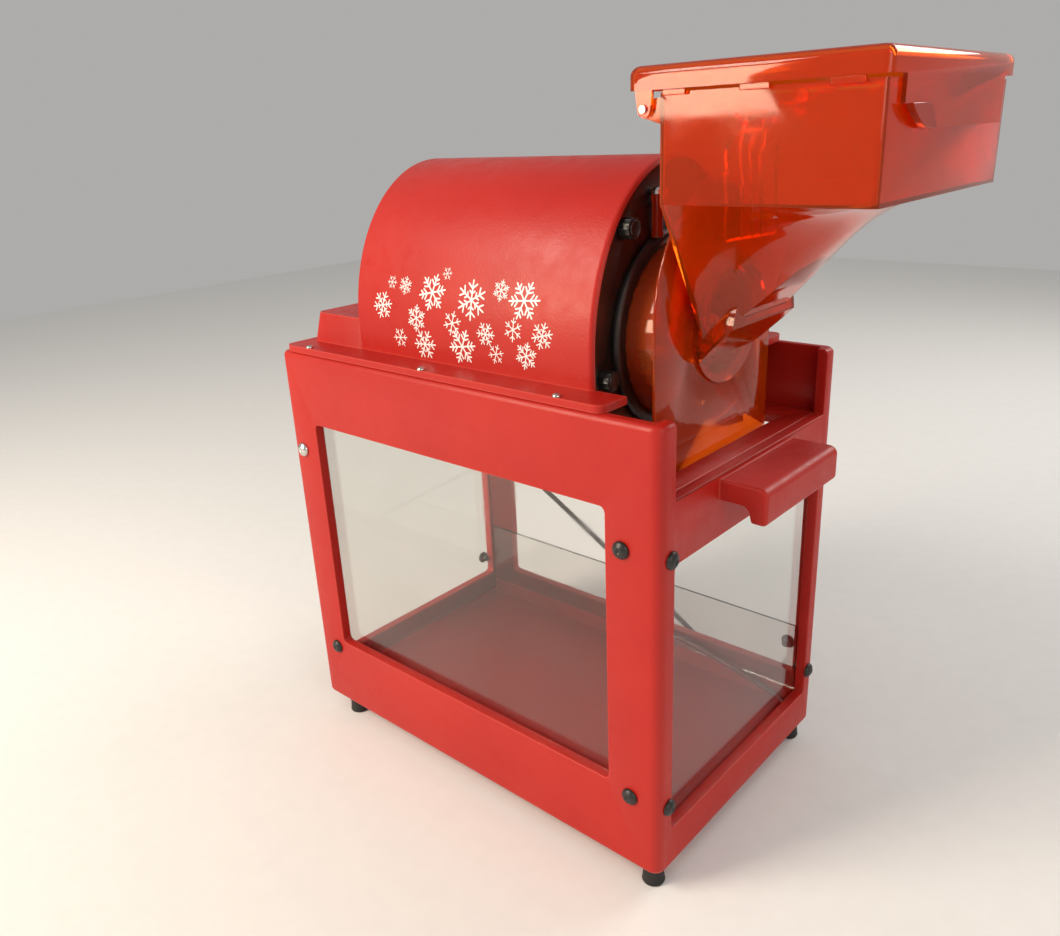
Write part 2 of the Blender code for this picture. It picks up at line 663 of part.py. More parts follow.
def keel(x):
    """Height and half width of the hopper's bottom at a station along x."""
    if x > KEEL_X:
        spread = (x - KEEL_X) / (HOPPER_END - KEEL_X)
        half = KEEL_HALF + (HOPPER_HALF - KEEL_HALF) * spread ** 2
    else:
        spread = (KEEL_X - x) / (KEEL_X - HOPPER_REAR)
        half = KEEL_HALF + (SPOUT_RADIUS - 0.004 - KEEL_HALF) * spread
    start, knee, end = 0.608, 0.636, 0.668
    if x <= start:
        height = HOPPER_BEND - KEEL_SLOPE * (knee - x)
    elif x >= end:
        height = HOPPER_BEND
    else:
        t = (x - start) / (end - start)
        low = HOPPER_BEND - KEEL_SLOPE * (knee - start)
        height = low + (HOPPER_BEND - low) * (2 * t - t * t)
    return height, half


def hopper_loops(inset, top):
    """Cross-sections of the hopper from its rear wall to its outer end."""
    stations = 15
    loops = []
    for i in range(stations):
        x = HOPPER_REAR + (HOPPER_END - HOPPER_REAR) * i / (stations - 1)
        height, half = keel(x)
        side = HOPPER_HALF - inset
        half = max(half - inset * 0.7, 0.010)
        place = HOPPER_REAR + inset + (HOPPER_END - HOPPER_REAR - 2 * inset) * i / (stations - 1)
        half = min(half, side - 0.0004)
        bend = HOPPER_BEND + inset * 0.6
        bottom = height + inset - 0.0002
        section = [(MID - side, top), (MID - side, bend), (MID - half, bottom),
                   (MID + half, bottom), (MID + side, bend), (MID + side, top)]
        loops.append([Vector((place, y, z)) for y, z in section])
    return loops


def spout(name, radius, low, high, collar, rise):
    """Round spout whose underside slopes like the keel beyond its collar."""
    def underside(x):
        return 0.526 + rise + KEEL_SLOPE * (x - SPOUT_END)
    body = cylinder(name, "X", (MID, SPOUT_HEIGHT), radius, low, high, 64)
    outline = ((collar, 0.40), (0.56, 0.40), (0.56, underside(0.56)), (collar, underside(collar)))
    return cut(body, prism("trim", outline, "Y", 0, DEPTH))


def hopper():
    """Ice hopper: a box above, a trough below that ends in the round feed spout."""
    body = loft("hopper", hopper_loops(0, HOPPER_TOP))
    join(body, spout("spout", SPOUT_RADIUS, GUARD[0] + 0.0002, SPOUT_END, SPOUT_COLLAR, 0))
    for y in (MID - HOPPER_HALF, MID + HOPPER_HALF - HOPPER_WALL):
        ear = [(HOPPER_REAR + 0.004, HINGE[1] - 0.012), (HOPPER_REAR + 0.004, HINGE[1] + 0.008)]
        ear += circle(HINGE, 0.007, 9, math.pi / 2, math.pi)
        join(body, prism("ear", ear, "Y", y, y + HOPPER_WALL))
    inner = loft("hollow", hopper_loops(HOPPER_WALL, HOPPER_TOP + 0.02))
    join(inner, spout("throat", SPOUT_RADIUS - HOPPER_WALL, 0.470, SPOUT_END - HOPPER_WALL,
                      SPOUT_COLLAR - HOPPER_WALL, 0.0044))
    cut(body, inner)
    cut(body, cylinder("rod", "Y", HINGE, HINGE_ROD + GAP, 0, DEPTH, 24))
    finish(body, "orange_polycarbonate")


def lid():
    """Lid with a skirt all round, a rounded nose over the hinge and a deep apron at the outer end."""
    half = HOPPER_HALF + LID_WALL + 0.0006
    end = HOPPER_END + 0.0006
    skirt = LID_TOP - LID_SKIRT
    nose = circle((LID_NOSE + 0.0095, LID_TOP - 0.0095), 0.0095, 7, math.pi / 2, math.pi / 2)
    outline = [(end + LID_WALL, skirt), (end + LID_WALL, LID_TOP)] + nose + [(LID_NOSE, skirt)]
    top = prism("hopper_lid", outline, "Y", MID - half, MID + half)
    inner_nose = circle((LID_NOSE + 0.0095, LID_TOP - 0.0095), 0.0065, 5, math.pi / 2, math.pi / 2)
    hollow = [(end, skirt - 0.01), (end, LID_TOP - LID_WALL)] + inner_nose
    hollow.append((LID_NOSE + LID_WALL, skirt - 0.01))
    cut(top, prism("hollow", hollow, "Y", MID - half + LID_WALL, MID + half - LID_WALL))
    apron = [(MID - 0.107, skirt + 0.002), (MID - 0.107, 0.701), (MID - 0.066, 0.701),
             (MID - 0.060, 0.684), (MID + 0.107, 0.684), (MID + 0.107, skirt + 0.002)]
    join(top, prism("apron", apron, "X", end, end + LID_WALL))
    for y in (MID - half, MID + half - LID_WALL):
        tab = [(HINGE[0] - 0.008, skirt + 0.002), (HINGE[0] - 0.006, HINGE[1])]
        tab += circle(HINGE, 0.006, 7, math.pi, math.pi)
        tab += [(HINGE[0] + 0.006, HINGE[1]), (HINGE[0] + 0.008, skirt + 0.002)]
        join(top, prism("tab", tab, "Y", y, y + LID_WALL))
    cut(top, cylinder("rod", "Y", HINGE, HINGE_ROD + GAP, 0, DEPTH, 24))
    finish(top, "orange_polycarbonate", pivot=(HINGE[0], MID, HINGE[1]))
    rod = cylinder("lid_hinge_rod", "Y", HINGE, HINGE_ROD, MID - half - 0.002, MID + half + 0.002, 24)
    finish(rod, "bright_steel", smooth=35)


def baffle():
    """Wire baffle that hangs in front of the feed mouth, its pivot block and its pin."""
    x, z = BAFFLE_AXIS
    wall = HOPPER_REAR + HOPPER_WALL + GAP
    block = box("baffle_block", (wall, MID - 0.030, z - 0.010), (x + 0.006, MID + 0.030, z + 0.010))
    cut(block, box("slot", (wall + 0.0035, MID - 0.022, z - 0.02), (x + 0.02, MID + 0.022, z + 0.02)))
    cut(block, cylinder("bore", "Y", BAFFLE_AXIS, 0.0021, MID - 0.04, MID + 0.04, 24))
    finish(block, "orange_polycarbonate")
    pin = cylinder("baffle_pin", "Y", BAFFLE_AXIS, 0.0020, MID - 0.0325, MID + 0.0325, 24)
    finish(pin, "bright_steel", smooth=35)
    profile = [(0.0022, MID - 0.0205), (0.0045, MID - 0.0205), (0.0045, MID + 0.0205), (0.0022, MID + 0.0205)]
    sleeve = turned("feed_baffle", "Y", BAFFLE_AXIS, profile, 24)
    radius = 0.028
    top = z - 0.014
    arch = [Vector((x, MID - BAFFLE_HALF, 0.600))]
    for start, sign in ((math.pi, -1), (math.pi / 2, 1)):
        offset = -BAFFLE_HALF + radius if sign < 0 else BAFFLE_HALF - radius
        for y, height in circle((MID + offset, top - radius), radius, 7, start, -math.pi / 2):
            arch.append(Vector((x, y, height)))
    arch.append(Vector((x, MID + BAFFLE_HALF, 0.600)))
    half = BAFFLE_HALF + 0.0008
    wires = [arch, [Vector((x, MID - half, 0.601)), Vector((x, MID + half, 0.601))]]
    for offset in (-0.018, 0.018):
        wires.append([Vector((x, MID + offset, z - 0.003)), Vector((x, MID + offset, 0.600))])
    wires.append([Vector((x, MID, top - 0.0005)), Vector((x, MID, 0.600))])
    for points in wires:
        wire = tube("wire", points, BAFFLE_WIRE, 1)
        combine(sleeve, mesh_copy(wire), "UNION")
    finish(sleeve, "bright_steel", pivot=(x, MID, z))


def mesh_copy(curve_object):
    """Replace a curve object by a mesh of the same shape."""
    depsgraph = bpy.context.evaluated_depsgraph_get()
    mesh = bpy.data.meshes.new_from_object(curve_object.evaluated_get(depsgraph))
    copy = bpy.data.objects.new(curve_object.name, mesh)
    bpy.context.scene.collection.objects.link(copy)
    bpy.data.objects.remove(curve_object)
    return copy


# Power cord and drain hose

CORD_ROUTE = (
    CORD_EXIT, (0.0350, 0.3480, 0.4919), (0.0350, 0.3560, 0.4892), (0.0346, 0.3634, 0.4828),
    (0.0337, 0.3688, 0.4725), (0.0320, 0.3710, 0.4580), (0.0285, 0.3706, 0.4330), (0.0240, 0.3685, 0.4050),
    (0.0195, 0.3658, 0.3760), (0.0155, 0.3636, 0.3450), (0.0130, 0.3625, 0.3080), (0.0150, 0.3622, 0.2720),
    (0.0270, 0.3615, 0.2390), (0.0500, 0.3605, 0.2155),
    (0.0770, 0.3600, 0.1990), (0.1170, 0.3600, 0.1765), (0.1560, 0.3600, 0.1540), (0.1940, 0.3600, 0.1320),
    (0.2400, 0.3602, 0.1050), (0.2850, 0.3606, 0.0780), (0.3300, 0.3612, 0.0500), (0.3700, 0.3618, 0.0230),
    (0.4000, 0.3625, 0.0020), (0.4240, 0.3635, -0.0130), (0.4450, 0.3665, -0.0200), (0.4640, 0.3740, -0.0205),
    (0.4760, 0.3880, -0.0205), (0.4765, 0.4045, -0.0205), (0.4660, 0.4185, -0.0205), (0.4480, 0.4265, -0.0205),
    (0.4250, 0.4290, -0.0205), (0.4050, 0.4290, -0.0205), (0.3850, 0.4290, -0.0205),
)

HOSE_ROUTE = (
    (DRAIN[0] + 0.0166, DRAIN[1], 0.0310),
    (0.2900, 0.3005, 0.0318), (0.3050, 0.3040, 0.0400), (0.3220, 0.3085, 0.0488),
    (0.3380, 0.3125, 0.0545), (0.3530, 0.3142, 0.0562), (0.3690, 0.3148, 0.0545), (0.3880, 0.3150, 0.0505),
    (0.4100, 0.3150, 0.0460), (0.4350, 0.3150, 0.0408), (0.4600, 0.3148, 0.0350), (0.4800, 0.3142, 0.0298),
    (0.4970, 0.3132, 0.0248), (0.5100, 0.3115, 0.0208),
)


def power_cord():
    finish(tube("power_cord", smooth_route(CORD_ROUTE, 2), CORD_RADIUS), "black_rubber")
    base = -FOOT
    profile = [(COIL_INNER, base), (COIL_OUTER, base), (COIL_OUTER, base + COIL_HEIGHT),
               (COIL_INNER, base + COIL_HEIGHT)]
    finish(turned("cord_coil", "Z", COIL_CENTRE, profile, 40), "black_rubber")
    plug = turned("power_plug", "X", (0, 0),
                  [(0, 0), (0.0045, 0), (0.0065, 0.014), (0, 0.0141)], 16)
    join(plug,
         prism("body", rounded((-0.0125, -0.0120), (0.0125, 0.0120), 0.005, 4), "X", 0.013, 0.042),
         box("blade_a", (0.041, -0.0066, -0.0030), (0.058, -0.0050, 0.0034)),
         box("blade_b", (0.041, 0.0050, -0.0030), (0.058, 0.0066, 0.0034)),
         cylinder("earth", "X", (0, -0.0085), 0.0023, 0.041, 0.060, 12))
    angle = math.radians(120)
    radius = (COIL_INNER + COIL_OUTER) / 2 + CORD_RADIUS
    heading = Vector((-math.sin(angle), math.cos(angle), 0))
    start = Vector((COIL_CENTRE[0] + radius * math.cos(angle),
                    COIL_CENTRE[1] + radius * math.sin(angle), -0.0118))
    turn = heading.to_track_quat("X", "Z").to_matrix().to_4x4()
    plug.data.transform(Matrix.Translation(start + heading * 0.032) @ turn)
    finish(plug, "black_plastic")


def drain():
    """Drain elbow in the cabinet floor and the hose on its barb."""
    x, y = DRAIN
    elbow = turned("drain_elbow", "Z", DRAIN,
                   [(0, 0.0005), (0.0046, 0.0005), (0.0046, FLOOR + GAP), (0.0115, FLOOR + GAP),
                    (0.0115, FLOOR + 0.003), (0.0062, FLOOR + 0.0035), (0.0062, 0.0350), (0, 0.0368)], 24)
    join(elbow, turned("barb", "X", (y, 0.0310),
                       [(0, x), (0.0048, x), (0.0048, x + 0.012), (0.0040, x + 0.016), (0, x + 0.016)], 16))
    finish(elbow, "black_plastic", smooth=40)
    finish(tube("drain_hose", smooth_route(HOSE_ROUTE, 2), HOSE_RADIUS), "red_hose")


def main():
    for obj in list(bpy.data.objects):
        bpy.data.objects.remove(obj)
    cabinet_shell()
    deck()
    feet()
    panes()
    pins()
    motor_cover()
    cover_screws()
    switch()
    strain_relief()
    motor()
    head_plate()
    knobs()
    clamp_ring()
    shaver_housing()
    cutting_ring()
    cutter()
    ice_guard()
    hopper()
    lid()
    baffle()
    power_cord()
    drain()
    end = HOPPER_END + 0.0006 + LID_WALL
    shift = Vector((-end / 2, -MID, FOOT))
    for obj in bpy.data.objects:
        obj.location += shift


main()
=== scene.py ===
"""Looks for the table-top shaved ice machine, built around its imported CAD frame.

Lengths are in metres. The frame's origin is the middle of the footprint on the surface the machine
stands on. at(x, y, z) takes cabinet coordinates: x from the rear end towards the hopper, y from the
front face towards the operator's side, z up from the cabinet's underside.
"""

import json
import math

import bmesh
import bpy
from mathutils import Euler, Matrix, Vector


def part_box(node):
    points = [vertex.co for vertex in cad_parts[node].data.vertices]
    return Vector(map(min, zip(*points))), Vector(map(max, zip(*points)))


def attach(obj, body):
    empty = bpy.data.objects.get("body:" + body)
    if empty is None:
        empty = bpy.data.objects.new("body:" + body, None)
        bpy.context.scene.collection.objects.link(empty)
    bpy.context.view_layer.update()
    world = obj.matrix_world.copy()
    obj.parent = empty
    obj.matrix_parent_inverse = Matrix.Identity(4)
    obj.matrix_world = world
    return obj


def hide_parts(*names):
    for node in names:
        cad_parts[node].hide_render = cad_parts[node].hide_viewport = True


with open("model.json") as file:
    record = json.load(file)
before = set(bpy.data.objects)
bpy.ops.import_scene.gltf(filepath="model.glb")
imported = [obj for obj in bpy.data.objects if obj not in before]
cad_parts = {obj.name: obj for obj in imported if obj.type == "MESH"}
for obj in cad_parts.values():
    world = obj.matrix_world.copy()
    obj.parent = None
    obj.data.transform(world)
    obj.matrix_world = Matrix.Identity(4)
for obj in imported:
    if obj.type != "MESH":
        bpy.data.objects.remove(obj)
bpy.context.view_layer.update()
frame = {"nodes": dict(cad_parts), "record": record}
nodes = frame["nodes"]
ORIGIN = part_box("cabinet_shell")[0]


def at(x, y, z):
    return ORIGIN + Vector((x, y, z))


# Dimensions shared with the CAD, in cabinet coordinates
LENGTH = 0.530
DEPTH = 0.335
HEIGHT = 0.467
WALL = 0.012
FLOOR = 0.016
POST = 0.023
RAIL_TOP = 0.397
FOOT = 0.024
MID = DEPTH / 2
GAP = 0.0003
FLANGE_TOP = HEIGHT + 0.0075
PLINTH_TOP = 0.508
DOME_REAR = 0.106
DOME_FRONT = 0.434
DOME_SPRING = 0.500
DOME_HALF = 0.132
DOME_RISE = 0.169
COVER_WALL = 0.004
AXIS_HEIGHT = 0.507
DRUM_RADIUS = 0.086
LID_TOP = 0.737
LID_SKIRT = 0.0177
CORD_RADIUS = 0.0035
HOSE_RADIUS = 0.0038


# Shape helpers

def solid(name, bm):
    bmesh.ops.recalc_face_normals(bm, faces=bm.faces)
    mesh = bpy.data.meshes.new(name)
    bm.to_mesh(mesh)
    bm.free()
    obj = bpy.data.objects.new(name, mesh)
    bpy.context.scene.collection.objects.link(obj)
    return obj


def loft(name, loops, closed=False):
    """Skin closed loops of as many points each, capped at both ends unless the row of loops is closed."""
    bm = bmesh.new()
    rings = [[bm.verts.new(at(*p)) for p in loop] for loop in loops]
    pairs = list(zip(rings, rings[1:]))
    if closed:
        pairs.append((rings[-1], rings[0]))
    else:
        bm.faces.new(rings[0])
        bm.faces.new(rings[-1])
    for low, high in pairs:
        for i in range(len(low)):
            j = (i + 1) % len(low)
            bm.faces.new((low[i], low[j], high[j], high[i]))
    return solid(name, bm)


def order(axis, along, u, v):
    """The point at along on the axis, and at u, v across it."""
    if axis == "X":
        return (along, u, v)
    if axis == "Y":
        return (u, along, v)
    return (u, v, along)


def prism(name, outline, axis, low, high):
    return loft(name, [[order(axis, place, u, v) for u, v in outline] for place in (low, high)])


def box(name, low, high):
    outline = ((low[0], low[1]), (high[0], low[1]), (high[0], high[1]), (low[0], high[1]))
    return prism(name, outline, "Z", low[2], high[2])


def circle(centre, radius, segments, start=0.0, turn=2 * math.pi):
    steps = segments if abs(turn) >= 2 * math.pi - 1e-9 else segments - 1
    return [(centre[0] + radius * math.cos(start + turn * i / steps),
             centre[1] + radius * math.sin(start + turn * i / steps)) for i in range(segments)]


def rounded(low, high, radius, segments=6):
    corners = ((high[0], high[1], 0), (low[0], high[1], 1), (low[0], low[1], 2), (high[0], low[1], 3))
    points = []
    for x, y, quarter in corners:
        cx = x - radius if x == high[0] else x + radius
        cy = y - radius if y == high[1] else y + radius
        points += circle((cx, cy), radius, segments, quarter * math.pi / 2, math.pi / 2)
    return points


def turned(name, axis, centre, profile, segments=40):
    """Spin a closed profile of (radius, along) points about an axis."""
    bm = bmesh.new()
    columns = []
    for radius, along in profile:
        if radius == 0:
            columns.append([bm.verts.new(at(*order(axis, along, *centre)))] * segments)
        else:
            columns.append([bm.verts.new(at(*order(axis, along, *p)))
                            for p in circle(centre, radius, segments)])
    for k, low in enumerate(columns):
        high = columns[(k + 1) % len(columns)]
        for i in range(segments):
            j = (i + 1) % segments
            corners = []
            for vert in (low[i], low[j], high[j], high[i]):
                if vert not in corners:
                    corners.append(vert)
            if len(corners) > 2:
                bm.faces.new(corners)
    return solid(name, bm)


def combine(target, tool, operation, self_union=False):
    modifier = target.modifiers.new(operation, "BOOLEAN")
    modifier.operation = operation
    modifier.solver = "EXACT"
    modifier.use_self = self_union
    modifier.object = tool
    apply_modifiers(target)
    bpy.data.objects.remove(tool)
    return target


def apply_modifiers(obj):
    depsgraph = bpy.context.evaluated_depsgraph_get()
    mesh = bpy.data.meshes.new_from_object(obj.evaluated_get(depsgraph))
    obj.modifiers.clear()
    obj.data = mesh
    mesh.name = obj.name


def cut(target, *tools):
    for tool in tools:
        combine(target, tool, "DIFFERENCE")
    return target


def join(target, *tools):
    for tool in tools:
        combine(target, tool, "UNION")
    return target


def tidy(obj, angle=0.5):
    """Merge doubled points and flat neighbouring faces, so that bevels run cleanly."""
    bm = bmesh.new()
    bm.from_mesh(obj.data)
    bmesh.ops.remove_doubles(bm, verts=bm.verts, dist=1e-6)
    bmesh.ops.dissolve_limit(bm, angle_limit=math.radians(angle), verts=bm.verts, edges=bm.edges)
    bm.to_mesh(obj.data)
    bm.free()
    return obj


def bevel(obj, width, segments=3, angle=35):
    """Round the sharp edges and shade the piece smoothly."""
    tidy(obj)
    obj.data.shade_smooth()
    modifier = obj.modifiers.new("edges", "BEVEL")
    modifier.width = width
    modifier.segments = segments
    modifier.limit_method = "ANGLE"
    modifier.angle_limit = math.radians(angle)
    modifier.harden_normals = True
    modifier.use_clamp_overlap = True
    modifier.miter_outer = "MITER_ARC"
    apply_modifiers(obj)
    return obj


def smooth(obj, angle=35):
    obj.data.shade_smooth()
    obj.data.set_sharp_from_angle(angle=math.radians(angle))
    return obj


def copy_of(node, name):
    """A copy of a CAD node's mesh, to refine."""
    obj = bpy.data.objects.new(name, nodes[node].data.copy())
    bpy.context.scene.collection.objects.link(obj)
    obj.data.materials.clear()
    return obj


def piece(obj, material, body="root", stands_for=()):
    """Give a finished piece its material and body, and hide the CAD nodes it stands for."""
    obj.data.materials.clear()
    obj.data.materials.append(material)
    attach(obj, body)
    if stands_for:
        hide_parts(*stands_for)
    return obj


# Materials

class Recipe:
    """A Principled material with object-space noise for its colour, roughness and surface."""

    def __init__(self, name, **sockets):
        self.material = bpy.data.materials.new(name)
        self.material.use_nodes = True
        self.tree = self.material.node_tree
        self.shader = self.tree.nodes["Principled BSDF"]
        self.coords = self.tree.nodes.new("ShaderNodeTexCoord").outputs["Object"]
        for socket, value in sockets.items():
            self.shader.inputs[socket.replace("_", " ")].default_value = value

    def noise(self, scale, detail=2.0, rough=0.5, stretch=(1, 1, 1)):
        mapping = self.tree.nodes.new("ShaderNodeMapping")
        mapping.inputs["Scale"].default_value = stretch
        self.tree.links.new(self.coords, mapping.inputs["Vector"])
        node = self.tree.nodes.new("ShaderNodeTexNoise")
        node.inputs["Scale"].default_value = scale
        node.inputs["Detail"].default_value = detail
        node.inputs["Roughness"].default_value = rough
        self.tree.links.new(mapping.outputs["Vector"], node.inputs["Vector"])
        return node.outputs["Fac"]

    def spread(self, value, low, high, to_low=0.0, to_high=1.0):
        node = self.tree.nodes.new("ShaderNodeMapRange")
        for socket, number in (("From Min", low), ("From Max", high),
                               ("To Min", to_low), ("To Max", to_high)):
            node.inputs[socket].default_value = number
        self.tree.links.new(value, node.inputs["Value"])
        return node.outputs["Result"]

    def mix(self, factor, first, second):
        node = self.tree.nodes.new("ShaderNodeMix")
        node.data_type = "RGBA"
        self.tree.links.new(factor, node.inputs["Factor"])
        for socket, value in ((node.inputs[6], first), (node.inputs[7], second)):
            if isinstance(value, tuple):
                socket.default_value = (*value, 1.0)
            else:
                self.tree.links.new(value, socket)
        return node.outputs[2]

    def colour(self, value):
        self.tree.links.new(value, self.shader.inputs["Base Color"])

    def roughness(self, value):
        self.tree.links.new(value, self.shader.inputs["Roughness"])

    def edges(self, radius):
        """Mask that is 1 along worn edges."""
        soft = self.tree.nodes.new("ShaderNodeBevel")
        soft.samples = 4
        soft.inputs["Radius"].default_value = radius
        plain = self.tree.nodes.new("ShaderNodeNewGeometry").outputs["Normal"]
        dot = self.tree.nodes.new("ShaderNodeVectorMath")
        dot.operation = "DOT_PRODUCT"
        self.tree.links.new(soft.outputs["Normal"], dot.inputs[0])
        self.tree.links.new(plain, dot.inputs[1])
        return self.spread(dot.outputs["Value"], 1.0, 0.86)

    def bumps(self, *layers):
        """Layers of (height value, depth in metres), stacked."""
        normal = None
        for height, depth in layers:
            node = self.tree.nodes.new("ShaderNodeBump")
            node.inputs["Strength"].default_value = 1.0
            node.inputs["Distance"].default_value = depth
            self.tree.links.new(height, node.inputs["Height"])
            if normal is not None:
                self.tree.links.new(normal, node.inputs["Normal"])
            normal = node.outputs["Normal"]
        self.tree.links.new(normal, self.shader.inputs["Normal"])


def red_cabinet():
    r = Recipe("red_polyethylene", Specular_IOR_Level=0.34, Subsurface_Weight=0.06, Subsurface_Scale=0.004,
               Subsurface_Radius=(1.0, 0.25, 0.15), IOR=1.5)
    mottle = r.mix(r.spread(r.noise(9, 3), 0.35, 0.65), (0.400, 0.0085, 0.0050), (0.470, 0.0150, 0.0070))
    fine = r.mix(r.spread(r.noise(900, 2), 0.30, 0.75), mottle, (0.430, 0.0160, 0.0100))
    r.colour(r.mix(r.edges(0.0025), fine, (0.560, 0.0550, 0.0380)))
    r.roughness(r.spread(r.noise(60, 3), 0.3, 0.7, 0.34, 0.46))
    r.bumps((r.noise(420, 2), 0.00018), (r.noise(1500, 2), 0.00005))
    return r.material


def orange_clear(name, colour, tone, low, high, weight):
    r = Recipe(name, Transmission_Weight=weight, IOR=1.40, Specular_IOR_Level=0.24)
    r.colour(r.mix(r.spread(r.noise(11, 2), 0.35, 0.65), colour, tone))
    r.roughness(r.spread(r.noise(35, 4), 0.35, 0.75, low, high))
    r.bumps((r.noise(30, 1), 0.000012), (r.noise(700, 3, stretch=(1, 1, 0.15)), 0.000003))
    return r.material


def pane_clear():
    r = Recipe("clear_pane", Transmission_Weight=1.0, IOR=1.46)
    # The grey-beige tint is painted shade: it darkens the panes towards the dark room seen through them. The
    # noise only varies it at random.
    r.colour(r.mix(r.spread(r.noise(6, 2), 0.35, 0.65), (0.870, 0.875, 0.850), (0.905, 0.905, 0.885)))
    r.roughness(r.spread(r.noise(18, 5, 0.6), 0.45, 0.75, 0.012, 0.075))
    r.bumps((r.noise(3.5, 1), 0.00005), (r.noise(900, 2, stretch=(0.1, 1, 1)), 0.000002))
    return r.material


def moulded(name, colour, other, low, high, grain, depth, **sockets):
    r = Recipe(name, **sockets)
    r.colour(r.mix(r.spread(r.noise(40, 3), 0.3, 0.7), colour, other))
    r.roughness(r.spread(r.noise(120, 3), 0.3, 0.7, low, high))
    r.bumps((r.noise(grain, 2), depth), (r.noise(grain * 4, 1), depth / 3))
    return r.material


def metal(name, colour, other, low, high, stretch, depth=0.00001):
    r = Recipe(name, Metallic=1.0)
    lines = r.noise(700, 3, 0.6, stretch)
    r.colour(r.mix(r.spread(r.noise(30, 3), 0.3, 0.7), colour, other))
    r.roughness(r.spread(lines, 0.25, 0.75, low, high))
    r.bumps((lines, depth))
    return r.material


RED = red_cabinet()
ORANGE = orange_clear("orange_clear", (0.920, 0.112, 0.004), (0.945, 0.140, 0.007), 0.030, 0.10, 0.86)
DEEP_ORANGE = orange_clear("orange_clear_thick", (0.560, 0.040, 0.004), (0.620, 0.050, 0.006),
                           0.05, 0.14, 0.60)
DRUM_ORANGE = orange_clear("orange_clear_drum", (0.860, 0.180, 0.040), (0.900, 0.215, 0.055),
                           0.04, 0.12, 0.78)
RIB_ORANGE = orange_clear("orange_clear_ribs", (0.940, 0.250, 0.030), (0.965, 0.300, 0.045),
                          0.08, 0.20, 0.35)
PANE = pane_clear()
BLACK = moulded("black_plastic", (0.010, 0.010, 0.010), (0.018, 0.017, 0.016), 0.30, 0.46, 700, 0.00005)
RUBBER = moulded("black_rubber", (0.009, 0.009, 0.009), (0.020, 0.019, 0.018), 0.55, 0.78, 500, 0.00010)
LEAD = moulded("cord_jacket", (0.010, 0.010, 0.011), (0.016, 0.016, 0.017), 0.36, 0.52, 380, 0.00006)
STEEL = metal("bright_steel", (0.60, 0.60, 0.58), (0.68, 0.67, 0.65), 0.18, 0.34, (1, 1, 0.08))
PLATE = metal("dark_steel", (0.085, 0.080, 0.076), (0.125, 0.115, 0.105), 0.34, 0.52, (0.1, 1, 1))
PAINTED = moulded("motor_paint", (0.085, 0.095, 0.105), (0.110, 0.120, 0.130), 0.40, 0.55, 350, 0.00012)
COPPER = metal("copper_winding", (0.52, 0.17, 0.06), (0.62, 0.24, 0.10), 0.26, 0.45, (0.06, 1, 1), 0.00015)
HOSE = moulded("red_hose", (0.160, 0.008, 0.007), (0.215, 0.013, 0.010), 0.26, 0.40, 200, 0.00006,
               Coat_Weight=0.3, Coat_Roughness=0.2)
DECAL = moulded("white_decal", (0.78, 0.71, 0.70), (0.86, 0.80, 0.79), 0.38, 0.52, 600, 0.00003)

SLOT_MATERIALS = {
    "cabinet_red": RED, "orange_clear": ORANGE, "clear_pane": PANE, "black_plastic": BLACK,
    "black_rubber": RUBBER, "bright_steel": STEEL, "dark_steel": PLATE, "motor_paint": PAINTED,
    "copper_winding": COPPER, "red_hose": HOSE,
}


def dress_cad_nodes():
    """Every CAD node gets the procedural material of its slot."""
    for entry in frame["record"]["subparts"]:
        mesh = nodes[entry["node"]].data
        mesh.materials.clear()
        mesh.materials.append(SLOT_MATERIALS[entry["material_slot"]])


# Camera, light and floor

SENSOR_WIDTH = 36
FOCAL_LENGTH = 30.58
CAMERA_PLACE = (0.5714, -0.7452, 0.7207)
CAMERA_DEGREES = (69.309, 2.538, 41.227)


def camera():
    data = bpy.data.cameras.new("camera")
    data.sensor_width = SENSOR_WIDTH
    data.lens = FOCAL_LENGTH
    obj = bpy.data.objects.new("camera", data)
    bpy.context.scene.collection.objects.link(obj)
    obj.location = CAMERA_PLACE
    obj.rotation_euler = Euler([math.radians(a) for a in CAMERA_DEGREES], "XYZ")
    bpy.context.scene.camera = obj


def softbox(name, place, target, size, power, colour):
    data = bpy.data.lights.new(name, "AREA")
    data.shape = "RECTANGLE"
    data.size, data.size_y = size
    data.energy = power
    data.color = colour
    obj = bpy.data.objects.new(name, data)
    bpy.context.scene.collection.objects.link(obj)
    obj.location = place
    obj.rotation_euler = (Vector(target) - Vector(place)).to_track_quat("-Z", "Y").to_euler()


def studio():
    world = bpy.data.worlds.new("studio")
    world.use_nodes = True
    background = world.node_tree.nodes["Background"]
    background.inputs["Color"].default_value = (1.0, 0.985, 0.96, 1.0)
    background.inputs["Strength"].default_value = 0.42
    scene = bpy.context.scene
    scene.world = world
    scene.view_settings.view_transform = "Standard"
    scene.cycles.max_bounces = 24
    scene.cycles.transmission_bounces = 24
    scene.cycles.transparent_max_bounces = 16
    softbox("key", (-1.2, -1.9, 2.1), (0, 0, 0.35), (1.1, 0.9), 46, (1.0, 0.90, 0.78))
    softbox("fill", (2.2, -0.9, 1.3), (0, 0, 0.35), (1.2, 1.4), 14, (1.0, 0.90, 0.80))
    softbox("window", (-1.05, -2.0, 1.0), (0, 0, 0.5), (0.9, 0.55), 28, (1.0, 0.80, 0.58))
    softbox("back", (0.9, 2.2, 1.9), (0, 0, 0.4), (1.4, 1.0), 26, (1.0, 0.95, 0.90))
    bm = bmesh.new()
    bmesh.ops.create_grid(bm, x_segments=8, y_segments=8, size=4)
    floor = solid("studio_floor", bm)
    if floor.data.polygons[0].normal.z < 0:
        floor.data.flip_normals()
    mat = moulded("floor_paper", (0.80, 0.80, 0.79), (0.82, 0.82, 0.81), 0.8, 0.9, 60, 0.0001)
    floor.data.materials.append(mat)


# Power cord and drain hose

